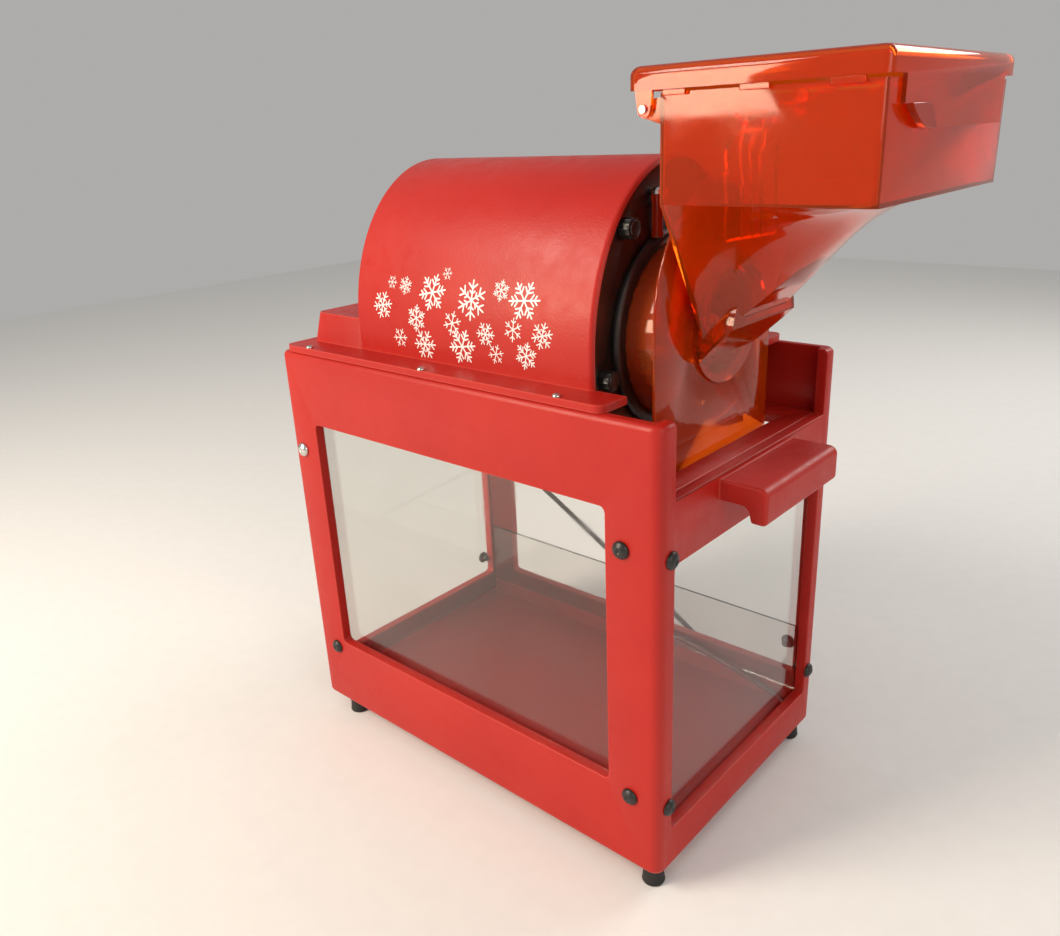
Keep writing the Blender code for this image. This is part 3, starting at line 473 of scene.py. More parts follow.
CORD_EXIT = (0.035, 0.3403, 0.492)
CORD_ROUTE = (
    CORD_EXIT, (0.0350, 0.3480, 0.4919), (0.0350, 0.3560, 0.4892), (0.0346, 0.3634, 0.4828),
    (0.0337, 0.3688, 0.4725), (0.0320, 0.3710, 0.4580), (0.0285, 0.3706, 0.4330), (0.0240, 0.3685, 0.4050),
    (0.0195, 0.3658, 0.3760), (0.0155, 0.3636, 0.3450), (0.0130, 0.3625, 0.3080), (0.0150, 0.3622, 0.2720),
    (0.0270, 0.3615, 0.2390), (0.0500, 0.3605, 0.2155),
    (0.0770, 0.3600, 0.1990), (0.1170, 0.3600, 0.1765), (0.1560, 0.3600, 0.1540), (0.1940, 0.3600, 0.1320),
    (0.2400, 0.3602, 0.1050), (0.2850, 0.3606, 0.0780), (0.3300, 0.3612, 0.0500), (0.3700, 0.3618, 0.0230),
    (0.4000, 0.3625, 0.0020), (0.4240, 0.3635, -0.0130), (0.4450, 0.3665, -0.0200), (0.4640, 0.3740, -0.0205),
    (0.4760, 0.3880, -0.0205), (0.4765, 0.4045, -0.0205), (0.4660, 0.4185, -0.0205),
    (0.4480, 0.4265, -0.0205),
    (0.4250, 0.4290, -0.0205), (0.4050, 0.4290, -0.0205), (0.3850, 0.4290, -0.0205),
)
COIL_CENTRE = (0.355, 0.3905)
COIL_PITCH = 0.00705           # from one turn to the next
COIL_START = 0.0488            # distance of the route's end from the coil's centre
COIL_INNER_TURN = COIL_START - 3 * COIL_PITCH
LOW_LAYER = -0.0205
HIGH_LAYER = -0.0134
PLUG_ANGLE = math.radians(120)
TIE_ANGLE = math.radians(255)
PLUG_END = (0.3080, 0.4078, -0.0118)

HOSE_ROUTE = (
    (0.2786, 0.3000, 0.0310), (0.2900, 0.3005, 0.0318), (0.3050, 0.3040, 0.0400), (0.3220, 0.3085, 0.0488),
    (0.3380, 0.3125, 0.0545), (0.3530, 0.3142, 0.0562), (0.3690, 0.3148, 0.0545), (0.3880, 0.3150, 0.0505),
    (0.4100, 0.3150, 0.0460), (0.4350, 0.3150, 0.0408), (0.4600, 0.3148, 0.0350), (0.4800, 0.3142, 0.0298),
    (0.4970, 0.3132, 0.0248), (0.5100, 0.3115, 0.0208),
)


def coil_points():
    """Three turns inwards on the floor, then two outwards on top of them, towards the plug."""
    start = math.atan2(CORD_ROUTE[-1][1] - COIL_CENTRE[1], CORD_ROUTE[-1][0] - COIL_CENTRE[0])
    inner = start + 6 * math.pi
    risen = inner + math.pi / 2
    end = PLUG_ANGLE + 2 * math.pi * math.ceil((risen + 3 * math.pi - PLUG_ANGLE) / (2 * math.pi))
    step = math.radians(20)
    count = round((end - start) / step)
    points = []
    for i in range(1, count + 1):
        angle = start + (end - start) * i / count
        if angle < inner:
            radius = COIL_START - COIL_PITCH * (angle - start) / (2 * math.pi)
        elif angle < risen:
            radius = COIL_INNER_TURN
        else:
            radius = COIL_INNER_TURN + COIL_PITCH * (angle - risen) / (2 * math.pi)
        rise = min(max((angle - inner) / (risen - inner), 0), 1)
        height = LOW_LAYER + (HIGH_LAYER - LOW_LAYER) * rise * rise * (3 - 2 * rise)
        points.append((COIL_CENTRE[0] + radius * math.cos(angle), COIL_CENTRE[1] + radius * math.sin(angle),
                       height))
    return points


def cord_curve(name, points, radius):
    """A round cord along one smooth curve, and the length of that curve."""
    curve = bpy.data.curves.new(name, "CURVE")
    curve.dimensions = "3D"
    curve.bevel_depth = radius
    curve.bevel_resolution = 6
    curve.resolution_u = 6
    curve.use_fill_caps = True
    spline = curve.splines.new("BEZIER")
    spline.bezier_points.add(len(points) - 1)
    for knot, place in zip(spline.bezier_points, points):
        knot.co = at(*place)
        knot.handle_left_type = knot.handle_right_type = "AUTO"
    obj = bpy.data.objects.new(name, curve)
    bpy.context.scene.collection.objects.link(obj)
    bpy.context.view_layer.update()
    return obj, spline.calc_length()


def power_cord():
    tail = coil_points()
    last = Vector(tail[-1])
    end = Vector(PLUG_END)
    tail += [tuple(last.lerp(end, share)) for share in (0.5, 1.0)]
    lead, length = cord_curve("mains_lead", list(CORD_ROUTE) + tail, CORD_RADIUS)
    piece(lead, LEAD, stands_for=("power_cord", "cord_coil"))
    nodes["power_plug"].data.materials.clear()
    nodes["power_plug"].data.materials.append(BLACK)

    x, y, z = CORD_EXIT
    face = MID + DOME_HALF + 0.0024
    profile = [(0.0037, y + 0.0002), (0.0046, y), (0.0048, y - 0.0018)]
    ribs = 7
    for i in range(ribs):
        along = y - 0.0022 - (y - face - 0.0075) * i / ribs
        radius = 0.0050 + 0.0026 * i / ribs
        profile += [(radius, along), (radius, along - 0.0026), (radius - 0.0012, along - 0.0030),
                    (radius - 0.0012, along - 0.0042)]
    profile += [(0.0080, face + 0.0048), (0.0104, face + 0.0040), (0.0108, face + 0.0030), (0.0108, face),
                (0.0068, face), (0.0068, face - 0.012), (0.0037, face - 0.012)]
    bush = smooth(turned("ribbed_strain_relief", "Y", (x, z), profile, 32), 30)
    piece(bush, RUBBER, stands_for=("cord_strain_relief",))

    out = Vector((math.cos(TIE_ANGLE), math.sin(TIE_ANGLE), 0))
    across = Vector((-out.y, out.x, 0))
    centre = Vector((*COIL_CENTRE, 0))
    loops = []
    for side in (-0.0035, 0.0035):
        loop = []
        for radius, height in rounded((0.0232, -0.0239), (0.0470, -0.0090), 0.0030, 5):
            loop.append(tuple(centre + out * radius + across * side + Vector((0, 0, height))))
        loops.append(loop)
    inner = []
    for side in (0.0035, -0.0035):
        loop = []
        for radius, height in rounded((0.0242, -0.0234), (0.0460, -0.0100), 0.0024, 5):
            loop.append(tuple(centre + out * radius + across * side + Vector((0, 0, height))))
        inner.append(loop)
    tie = smooth(loft("cord_tie", loops + inner, closed=True), 40)
    piece(tie, BLACK)


def drain_hose():
    hose, length = cord_curve("drain_hose_run", HOSE_ROUTE, HOSE_RADIUS)
    piece(hose, HOSE, stands_for=("drain_hose",))


# Cabinet

def window(name, axis, corners, low, high):
    return prism(name, rounded(*corners, 0.006), axis, low, high)


def cabinet():
    shell = prism("cabinet_body", rounded((0, 0), (LENGTH, DEPTH), 0.012, 8), "Z", 0, HEIGHT)
    bevel(shell, 0.0060, 4)
    inside = rounded((WALL, WALL), (LENGTH - WALL, DEPTH - WALL), 0.004, 3)
    cut(shell, prism("cavity", inside, "Z", FLOOR, HEIGHT + 0.1))
    cut(shell, box("end_gap", (LENGTH - 0.030, POST, RAIL_TOP), (LENGTH + 0.01, DEPTH - POST, HEIGHT + 0.1)))
    top, low, out = 0.392, 0.357, LENGTH + 0.048
    web = top - 0.020
    outline = [(LENGTH - WALL / 2, top)]
    outline += circle((out - 0.008, top - 0.008), 0.008, 6, math.pi / 2, -math.pi / 2)
    outline += circle((out - 0.005, low + 0.005), 0.005, 5, 0, -math.pi / 2)
    outline += [(out - 0.016, low), (out - 0.019, web - 0.003), (out - 0.023, web), (LENGTH - WALL / 2, web)]
    join(shell, bevel(prism("handle", outline, "Y", MID - 0.0725, MID + 0.0725), 0.0055, 4))
    cut(shell,
        window("front_cut", "Y", ((0.051, 0.092), (0.471, 0.384)), -0.01, WALL + 0.002),
        window("end_cut", "X", ((POST, 0.046), (DEPTH - POST, 0.335)), LENGTH - WALL - 0.002, LENGTH + 0.01),
        window("rear_cut", "X", ((0.038, 0.050), (0.316, 0.380)), -0.01, WALL + 0.002),
        window("hatch_cut", "Y", ((0.052, 0.062), (0.507, 0.380)), DEPTH - WALL - 0.002, DEPTH + 0.01))
    bevel(shell, 0.0030, 3)
    piece(shell, RED, stands_for=("cabinet_shell",))
    deck = copy_of("machinery_deck", "deck_shelf")
    bevel(deck, 0.0015, 2)
    piece(deck, RED, stands_for=("machinery_deck",))


# Places of the push pins, as (x, z) on the front and the hatch, and as (y, z) at the two ends
FRONT_PINS = ((0.022, 0.348), (0.037, 0.081), (0.489, 0.348), (0.497, 0.085))
END_PINS = ((0.017, 0.343), (0.017, 0.078), (0.318, 0.343), (0.318, 0.075))
REAR_PINS = ((0.026, 0.352), (0.026, 0.074), (0.309, 0.352), (0.309, 0.074))
HATCH_PINS = ((0.036, 0.094), (0.494, 0.094))
SHORT_SHANK = 0.004


def pin(name, axis, centre, face, outward, shank, material, stands_for=()):
    """Moulded push pin: a low dome with a raised ring and a dimple."""
    def away(distance):
        return face + outward * distance
    profile = [(0, away(0.0040)), (0.0016, away(0.0043)), (0.0026, away(0.0052)), (0.0040, away(0.0052)),
               (0.0049, away(0.0046)), (0.0066, away(0.0039)), (0.0078, away(0.0029)), (0.0085, away(0.0016)),
               (0.0086, away(0.0006)), (0.0082, away(GAP)), (0.0025, away(GAP)), (0.0025, away(-shank)),
               (0.0050, away(-shank)), (0.0046, away(-shank - 0.0028)), (0, away(-shank - 0.0032))]
    obj = smooth(turned(name, axis, centre, profile, 32), 50)
    return piece(obj, material, stands_for=stands_for)


def pins():
    through = WALL + 0.003 + 2 * GAP
    for i, place in enumerate(FRONT_PINS, 1):
        material, slot = (STEEL, "bright_steel") if i == 1 else (BLACK, "black_plastic")
        pin("front_pin_" + str(i), "Y", place, 0.0, -1, through, material,
            ("front_pane_pin_" + str(i),))
    for i, place in enumerate(END_PINS, 1):
        pin("end_pin_" + str(i), "X", place, LENGTH, 1, WALL + 0.0035, BLACK,
            ("end_pane_pin_" + str(i),))
    for i, place in enumerate(REAR_PINS, 1):
        pin("rear_pin_" + str(i), "X", place, 0.0, -1, SHORT_SHANK, BLACK)
    for i, place in enumerate(HATCH_PINS, 1):
        pin("hatch_pin_" + str(i), "Y", place, DEPTH, 1, SHORT_SHANK, BLACK)


def feet():
    for label, x in (("rear", 0.040), ("hopper", LENGTH - 0.018)):
        for side, y in (("front", 0.019), ("operator", DEPTH - 0.019)):
            profile = [(0, -FOOT), (0.0098, -FOOT), (0.0112, -FOOT + 0.0006), (0.0118, -FOOT + 0.0020),
                       (0.0114, -FOOT + 0.0040), (0.0102, -0.0075), (0.0100, -0.0062), (0.0112, -0.0056),
                       (0.0124, -0.0048), (0.0126, -0.0035), (0.0126, -0.0010), (0.0120, -GAP), (0, -GAP)]
            foot = smooth(turned("rubber_foot_" + label + "_" + side, "Z", (x, y), profile, 36), 40)
            piece(foot, RUBBER, stands_for=("foot_" + label + "_" + side,))


# Motor cover

WELL = ((0.036, 0.080), (0.094, 0.255))
WELL_CORNER = 0.028
SWITCH_LOW = (0.2220, 0.5450)
SWITCH_HIGH = (0.2500, 0.5850)
FIXING_PLACES = (0.052, 0.239, 0.416)
FIXING_INSET = 0.0065
FIXING_RADIUS = 0.0043


def dome_outline(inset, bottom, steps=64):
    half = DOME_HALF - inset
    rise = DOME_RISE - inset
    arch = [(MID + half * math.cos(math.pi * i / steps), DOME_SPRING + rise * math.sin(math.pi * i / steps))
            for i in range(steps + 1)]
    return [(MID + half, bottom)] + arch + [(MID - half, bottom)]


def dome_block(bottom, lip=0.0055, steps=5):
    """Solid arch with rounded rims at both ends."""
    loops = []
    for i in range(steps + 1):
        angle = math.pi / 2 * i / steps
        inset = lip * (1 - math.sin(angle))
        outline = dome_outline(inset, bottom)
        loops.append([(DOME_REAR + lip * (1 - math.cos(angle)), y, z) for y, z in outline])
    for i in range(steps + 1):
        angle = math.pi / 2 * (1 - i / steps)
        inset = lip * (1 - math.sin(angle))
        outline = dome_outline(inset, bottom)
        loops.append([(DOME_FRONT - lip * (1 - math.cos(angle)), y, z) for y, z in outline])
    return loft("dome", loops)


def plinth(name, inset, bottom, top):
    loops = []
    for z, slope in ((bottom, 0.0), (top, 0.0045)):
        low = (0.020 + inset + slope * 2, MID - DOME_HALF - 0.002 + inset + slope)
        high = (DOME_REAR + 0.010, MID + DOME_HALF + 0.002 - inset - slope)
        loops.append([(x, y, z) for x, y in rounded(low, high, 0.010, 5)])
    return loft(name, loops)


def motor_cover():
    low = (0.010, 0.0025)
    high = (0.468, DEPTH - 0.0025)
    cover = prism("domed_cover", rounded(low, high, 0.010, 6), "Z", HEIGHT + GAP, FLANGE_TOP)
    join(cover,
         dome_block(FLANGE_TOP - 0.003),
         plinth("plinth", 0, FLANGE_TOP - 0.003, PLINTH_TOP))
    cut(cover,
        prism("inside", dome_outline(COVER_WALL, HEIGHT - 0.01), "X", DOME_REAR + COVER_WALL,
              DOME_FRONT + 0.05),
        prism("well", rounded(*WELL, WELL_CORNER, 10), "Z", PLINTH_TOP - 0.020,
              PLINTH_TOP + 0.01))
    cut(cover,
        box("drum_gap", (DOME_FRONT - 0.001, 0.048, HEIGHT - 0.01), (0.480, DEPTH - 0.048, HEIGHT + 0.02)),
        box("switch_cut", (DOME_REAR - 0.01, *SWITCH_LOW), (DOME_REAR + 0.01, *SWITCH_HIGH)))
    bevel(cover, 0.0026, 3)
    piece(cover, RED, stands_for=("motor_cover",))


def screw(name, axis, centre, face, radius, stands_for=()):
    """Pan-head screw with a cross recess."""
    profile = [(0, face + 0.0026), (radius * 0.45, face + 0.0025), (radius * 0.75, face + 0.0020),
               (radius * 0.93, face + 0.0012), (radius, face + 0.0004), (radius, face),
               (radius * 0.42, face), (radius * 0.42, face - 0.003), (0, face - 0.0035)]
    obj = turned(name, axis, centre, profile, 28)
    u, v = centre
    arm = radius * 0.55
    for half_u, half_v in ((arm, radius * 0.11), (radius * 0.11, arm)):
        outline = ((u - half_u, v - half_v), (u + half_u, v - half_v), (u + half_u, v + half_v),
                   (u - half_u, v + half_v))
        cut(obj, prism("recess", outline, axis, face + 0.0012, face + 0.01))
    return piece(smooth(obj, 30), STEEL, stands_for=stands_for)


def cover_screws():
    seat = FLANGE_TOP + GAP
    for i, x in enumerate(FIXING_PLACES, 1):
        screw("cover_fixing_front_" + str(i), "Z", (x, FIXING_INSET), seat, FIXING_RADIUS,
              ("cover_screw_" + str(i),))
        screw("cover_fixing_operator_" + str(i), "Z", (x, DEPTH - FIXING_INSET), seat, FIXING_RADIUS)


# Snowflake decal

FLAKE_BAR = 0.085              # width of a bar of a flake of radius 1
DECAL_GAP = 0.00005
DECAL_DEPTH = 0.0003


def flake(name, spokes):
    """Flat six-armed snowflake of radius 1, as one closed body.

    spokes gives the (distance, length) of each pair of side twigs.
    """
    bm = bmesh.new()

    def bar(start, end, width):
        run = (Vector(end) - Vector(start)).normalized()
        side = Vector((-run.y, run.x)) * width / 2
        first, last = Vector(start), Vector(end)
        tip = last + run * width * 0.5
        corners = [first - side, last - side, tip, last + side, first + side]
        layers = [[bm.verts.new((p.x, p.y, h)) for p in corners] for h in (0.0, 1.0)]
        bm.faces.new(reversed(layers[0]))
        bm.faces.new(layers[1])
        for i in range(len(corners)):
            j = (i + 1) % len(corners)
            bm.faces.new((layers[0][i], layers[0][j], layers[1][j], layers[1][i]))

    for arm in range(6):
        angle = math.pi / 3 * arm
        out = Vector((math.cos(angle), math.sin(angle)))
        bar(out * -0.02, out * 0.95, FLAKE_BAR)
        for distance, length in spokes:
            for turn in (-1, 1):
                lean = angle + turn * math.radians(52)
                twig = Vector((math.cos(lean), math.sin(lean))) * length
                bar(out * distance, out * distance + twig, FLAKE_BAR)
    bmesh.ops.recalc_face_normals(bm, faces=bm.faces)
    mesh = bpy.data.meshes.new(name)
    bm.to_mesh(mesh)
    bm.free()
    obj = bpy.data.objects.new(name, mesh)
    bpy.context.scene.collection.objects.link(obj)
    blank = bpy.data.objects.new("blank", bpy.data.meshes.new("blank"))
    bpy.context.scene.collection.objects.link(blank)
    return combine(obj, blank, "UNION", self_union=True)


def arch_table(steps=240):
    """Arc length and place along the near half of the dome's arch, starting where its side ends."""
    table = []
    length = 0.0
    before = None
    for i in range(steps + 1):
        angle = math.pi / 2 * i / steps
        y = MID - DOME_HALF * math.cos(angle)
        z = DOME_SPRING + DOME_RISE * math.sin(angle)
        if before:
            length += math.dist(before, (y, z))
        before = (y, z)
        normal = Vector((0, -math.cos(angle) / DOME_HALF, math.sin(angle) / DOME_RISE)).normalized()
        table.append((length, Vector((0, y, z)), normal))
    return table


def on_dome(table, x, rise, height):
    """A point on the dome's near side: rise is measured over the surface from where the arch begins."""
    if rise <= 0:
        return at(x, MID - DOME_HALF - height, DOME_SPRING + rise)
    for (a, p, n), (b, q, m) in zip(table, table[1:]):
        if b >= rise:
            share = (rise - a) / (b - a)
            spot = p.lerp(q, share) + n.lerp(m, share).normalized() * height
            return at(x, spot.y, spot.z)
    return at(x, table[-1][1].y, table[-1][1].z + height)


def decal():
    table = arch_table()
    kinds = [flake("kind_a", ((0.38, 0.34), (0.62, 0.26))), flake("kind_b", ((0.30, 0.22), (0.55, 0.36))),
             flake("kind_c", ((0.52, 0.30),))]
    # x, rise over the surface, radius, kind, turn in degrees
    layout = (
        (0.152, 0.027, 0.0155, 1, 10), (0.166, 0.052, 0.0075, 2, 0), (0.187, 0.050, 0.0100, 1, 20),
        (0.178, -0.005, 0.0110, 2, 5), (0.228, 0.046, 0.0200, 0, 12), (0.205, 0.018, 0.0145, 0, 25),
        (0.216, -0.008, 0.0165, 1, 3), (0.258, 0.018, 0.0130, 2, 15), (0.284, 0.043, 0.0205, 1, 28),
        (0.271, -0.004, 0.0190, 0, 8), (0.304, 0.012, 0.0125, 1, 0), (0.322, 0.055, 0.0110, 0, 22),
        (0.317, -0.006, 0.0105, 2, 12), (0.352, 0.048, 0.0200, 0, 5), (0.340, 0.020, 0.0120, 2, 26),
        (0.376, 0.018, 0.0135, 1, 14), (0.356, -0.003, 0.0140, 0, 18), (0.247, 0.066, 0.0070, 2, 8),
    )
    bm = bmesh.new()
    for x, rise, radius, kind, degrees in layout:
        turn = Matrix.Rotation(math.radians(degrees), 3, "Z")
        source = kinds[kind].data
        verts = []
        for vert in source.vertices:
            flat = turn @ Vector((vert.co.x, vert.co.y, 0)) * radius
            height = DECAL_GAP + DECAL_DEPTH * vert.co.z
            verts.append(bm.verts.new(on_dome(table, x + flat.x, rise + flat.y, height)))
        for face in source.polygons:
            bm.faces.new([verts[i] for i in face.vertices])
    for kind in kinds:
        bpy.data.objects.remove(kind)
    piece(solid("snowflake_decal", bm), DECAL)


# Hopper, lid and shaver head

HOPPER_REAR = 0.500
HOPPER_END = 0.673
HOPPER_HALF = 0.1305
HOPPER_TOP = 0.717
HOPPER_BEND = 0.636
HOPPER_WALL = 0.0032
KEEL_HALF = 0.018
KEEL_X = 0.600
KEEL_SLOPE = 0.952
SPOUT_HEIGHT = 0.520
SPOUT_RADIUS = 0.058
SPOUT_END = 0.530
SPOUT_COLLAR = 0.4925
SPOUT_UNDERSIDE = 0.526        # height of its sloping underside at SPOUT_END
THROAT_RISE = 0.0044           # wall of the sloping underside, measured upright
GUARD_REAR = 0.4870
HINGE = (0.4895, 0.706)
HINGE_ROD = 0.0028
LID_WALL = 0.003
LID_NOSE = 0.474
DRUM = (0.4303, 0.4867)
DRUM_POST = (0.4365, 0.1330)
DRUM_SCREW = (0.1330, 0.4480)
CLAMP_RADIUS = 0.0985


def keel(x):
    """Height and half width of the hopper's bottom at a station along x."""
    if x > KEEL_X:
        spread = (x - KEEL_X) / (HOPPER_END - KEEL_X)
        half = KEEL_HALF + (HOPPER_HALF - KEEL_HALF) * spread ** 2
    else:
        spread = (KEEL_X - x) / (KEEL_X - HOPPER_REAR)
        half = KEEL_HALF + (SPOUT_RADIUS - 0.004 - KEEL_HALF) * spread
    start, knee, end = 0.608, 0.636, 0.668
    if x <= start:
        return HOPPER_BEND - KEEL_SLOPE * (knee - x), half
    if x >= end:
        return HOPPER_BEND, half
    t = (x - start) / (end - start)
    low = HOPPER_BEND - KEEL_SLOPE * (knee - start)
    return low + (HOPPER_BEND - low) * (2 * t - t * t), half


def hopper_form(name, inset, top, corner, stations=36, turns=4, slices=5):
    """The hopper's solid form, with rounded upright corners; inset gives its inside."""
    rear, end = HOPPER_REAR + inset, HOPPER_END - inset
    side = HOPPER_HALF - inset
    places = [(rear + corner * (1 - math.cos(a)), side - corner * (1 - math.sin(a)))
              for a in (math.pi / 2 * i / turns for i in range(turns))]
    places += [(rear + corner + (end - rear - 2 * corner) * i / stations, side) for i in range(stations + 1)]
    places += [(end - corner * (1 - math.cos(a)), side - corner * (1 - math.sin(a)))
               for a in (math.pi / 2 * (1 - i / turns) for i in range(1, turns + 1))]
    bend = HOPPER_BEND + inset * 0.6
    loops = []
    for x, width in places:
        height, half = keel(HOPPER_REAR + (x - rear) * (HOPPER_END - HOPPER_REAR) / (end - rear))
        half = min(max(half - inset * 0.7, 0.010), width - 0.0004)
        bottom = height + inset - 0.0002
        near = [(MID - width + (width - half) * i / slices, bend + (bottom - bend) * i / slices)
                for i in range(slices + 1)]
        far = [(2 * MID - y, z) for y, z in reversed(near)]
        section = [(MID - width, top)] + near + far + [(MID + width, top)]
        loops.append([(x, y, z) for y, z in section])
    return loft(name, loops)


def spout(name, radius, low, high, collar, rise):
    """Round spout whose underside slopes like the keel beyond its collar."""
    def underside(x):
        return SPOUT_UNDERSIDE + rise + KEEL_SLOPE * (x - SPOUT_END)
    body = prism(name, circle((MID, SPOUT_HEIGHT), radius, 80), "X", low, high)
    outline = ((collar, 0.40), (0.56, 0.40), (0.56, underside(0.56)), (collar, underside(collar)))
    return cut(body, prism("trim", outline, "Y", 0, DEPTH))


def hopper():
    body = hopper_form("ice_hopper", 0, HOPPER_TOP, 0.005)
    join(body, spout("spout", SPOUT_RADIUS, GUARD_REAR + 0.0002, SPOUT_END, SPOUT_COLLAR, 0))
    for y in (MID - HOPPER_HALF, MID + HOPPER_HALF - HOPPER_WALL):
        ear = [(HOPPER_REAR + 0.006, HINGE[1] - 0.012), (HOPPER_REAR + 0.006, HINGE[1] + 0.008)]
        ear += circle(HINGE, 0.007, 13, math.pi / 2, math.pi)
        join(body, prism("ear", ear, "Y", y, y + HOPPER_WALL))
    inner = hopper_form("hollow", HOPPER_WALL, HOPPER_TOP + 0.02, 0.0028)
    join(inner, spout("throat", SPOUT_RADIUS - HOPPER_WALL, 0.470, SPOUT_END - HOPPER_WALL,
                      SPOUT_COLLAR - HOPPER_WALL, THROAT_RISE))
    cut(body, inner)
    cut(body, prism("rod", circle(HINGE, HINGE_ROD + GAP, 24), "Y", 0, DEPTH))
    piece(smooth(tidy(body, 0.05), 24), ORANGE, stands_for=("hopper",))


def lid_form(name, inset, bottom, end, half):
    """Shallow box with a soft top edge all round."""
    soft = 0.0075 - inset * 0.6
    loops = []
    levels = [(bottom, 0.0)]
    for i in range(7):
        angle = math.pi / 2 * i / 6
        levels.append((LID_TOP - inset - soft * (1 - math.sin(angle)), soft * (1 - math.cos(angle))))
    for z, shrink in levels:
        trim = inset + shrink
        outline = rounded((LID_NOSE + trim, MID - half + trim), (end - trim, MID + half - trim),
                          max(0.0070 - trim * 0.6, 0.0015), 5)
        loops.append([(x, y, z) for x, y in outline])
    return loft(name, loops)


def lid():
    half = HOPPER_HALF + LID_WALL + 0.0006
    end = HOPPER_END + 0.0006
    skirt = LID_TOP - LID_SKIRT
    top = lid_form("clear_lid", 0, skirt, end + LID_WALL, half)
    cut(top, lid_form("hollow", LID_WALL, skirt - 0.01, end + LID_WALL, half))
    apron = [(MID - 0.107, skirt + 0.002), (MID - 0.107, 0.701), (MID - 0.066, 0.701),
             (MID - 0.0610, 0.6990), (MID - 0.0585, 0.6950), (MID - 0.0575, 0.684),
             (MID + 0.107, 0.684), (MID + 0.107, skirt + 0.002)]
    join(top, prism("apron", apron, "X", end, end + LID_WALL))
    for y in (MID - half, MID + half - LID_WALL):
        tab = [(HINGE[0] - 0.008, skirt + 0.002), (HINGE[0] - 0.006, HINGE[1])]
        tab += circle(HINGE, 0.006, 11, math.pi, math.pi)
        tab += [(HINGE[0] + 0.006, HINGE[1]), (HINGE[0] + 0.008, skirt + 0.002)]
        join(top, prism("tab", tab, "Y", y, y + LID_WALL))
    cut(top, prism("rod", circle(HINGE, HINGE_ROD + GAP, 24), "Y", 0, DEPTH))
    piece(smooth(tidy(top, 0.05), 30), ORANGE, body="lid", stands_for=("hopper_lid",))

    for i, (low, high) in enumerate(((0.506, 0.526), (0.570, 0.593), (0.637, 0.660)), 1):
        for side, y in (("front", MID - half), ("operator", MID + half - 0.0022)):
            lug = bevel(box("lid_lug_" + side + "_" + str(i), (low, y, skirt - 0.0045),
                            (high, y + 0.0022, skirt - 0.0002)), 0.0006, 2)
            piece(lug, ORANGE, body="lid")

    crescent = [(0.0605, 0.7010), (0.0760, 0.7012), (0.0930, 0.7010), (0.0990, 0.6985), (0.1030, 0.6940),
                (0.1062, 0.6890), (0.1080, 0.6840), (0.1000, 0.6842), (0.0900, 0.6856), (0.0800, 0.6885),
                (0.0710, 0.6930), (0.0650, 0.6970)]
    grip = prism("lid_finger_grip", crescent, "X", end + LID_WALL + 0.0002, end + LID_WALL + 0.0055)
    piece(bevel(grip, 0.0006, 2), DEEP_ORANGE, body="lid")


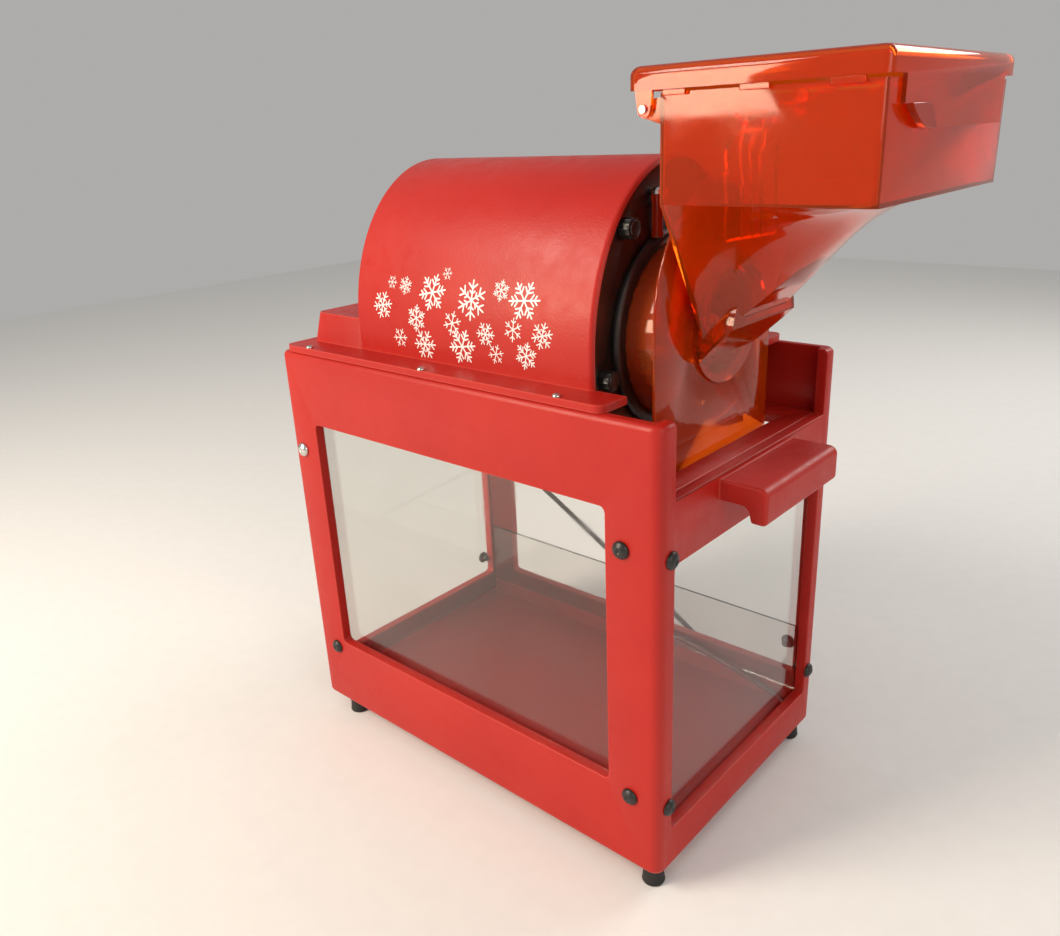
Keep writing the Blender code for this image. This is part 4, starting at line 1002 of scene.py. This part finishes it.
def shaver_drum():
    low, high = DRUM
    wall, soft = 0.004, 0.009
    profile = [(DRUM_RADIUS - wall, low), (DRUM_RADIUS, low)]
    profile += [(DRUM_RADIUS - soft * (1 - math.cos(a)), high - soft * (1 - math.sin(a)))
                for a in (math.pi / 2 * i / 7 for i in range(8))]
    profile += [(0, high), (0, high - wall)]
    profile += [(DRUM_RADIUS - wall - 0.005 * (1 - math.cos(a)), high - wall - 0.005 * (1 - math.sin(a)))
                for a in (math.pi / 2 * (1 - i / 5) for i in range(6))]
    drum = turned("drum_housing", "X", (MID, AXIS_HEIGHT), profile, 96)
    mouth = circle((MID, SPOUT_HEIGHT), 0.050, 72)
    cut(drum, prism("mouth", mouth, "X", low, high + 0.01),
        box("drop", (low + 0.009, MID - 0.040, 0.40), (high - 0.007, MID + 0.040, 0.46)))
    piece(smooth(tidy(drum, 0.05), 30), DRUM_ORANGE, stands_for=("shaver_housing",))
    for node, name, material, slot, width in (
            ("cutting_ring", "ribbed_cutting_ring", RIB_ORANGE, "orange_clear", 0.0003),
            ("ice_guard", "arched_ice_guard", ORANGE, "orange_clear", 0.0007),
            ("drum_clamp_ring", "clamp_ring", BLACK, "black_plastic", 0.0008),
            ("head_plate", "bearing_head_plate", PLATE, "dark_steel", 0.0010),
            ("baffle_block", "baffle_bracket", ORANGE, "orange_clear", 0.0005)):
        part = copy_of(node, name)
        bevel(part, width, 2, 40)
        piece(part, material, stands_for=(node,))
    for i in range(1, 5):
        knob = bevel(copy_of("clamp_knob_" + str(i), "fluted_knob_" + str(i)), 0.0004, 2, 40)
        piece(knob, BLACK, body="knob_" + str(i), stands_for=("clamp_knob_" + str(i),))

    face = DRUM[1]
    head = turned("drum_front_screw", "X", DRUM_SCREW,
                  [(0, face + 0.0024), (0.0022, face + 0.0022), (0.0036, face + 0.0012),
                   (0.0038, face + 0.0002), (0.0016, face + 0.0002), (0.0016, face - 0.0025),
                   (0, face - 0.0030)], 28)
    piece(smooth(head, 35), STEEL)

    post_x, post_y = DRUM_POST
    foot = AXIS_HEIGHT + math.sqrt(CLAMP_RADIUS ** 2 - (post_y - MID) ** 2)
    profile = [(0, foot - 0.0010), (0.0058, foot - 0.0010), (0.0062, foot + 0.0025), (0.0052, foot + 0.0050),
               (0.0050, foot + 0.0300), (0.0060, foot + 0.0330), (0.0060, foot + 0.0370), (0, foot + 0.0370)]
    piece(smooth(turned("drum_post", "Z", (post_x, post_y), profile, 32), 35), DEEP_ORANGE)
    top = foot + 0.0372
    profile = [(0, top), (0.0062, top), (0.0064, top + 0.0012), (0.0058, top + 0.0034),
               (0.0040, top + 0.0052), (0.0018, top + 0.0061), (0, top + 0.0063)]
    piece(smooth(turned("drum_post_cap", "Z", (post_x, post_y), profile, 32), 50), STEEL)


dress_cad_nodes()
camera()
studio()
power_cord()
drain_hose()
cabinet()
pins()
feet()
motor_cover()
cover_screws()
decal()
hopper()
lid()
shaver_drum()
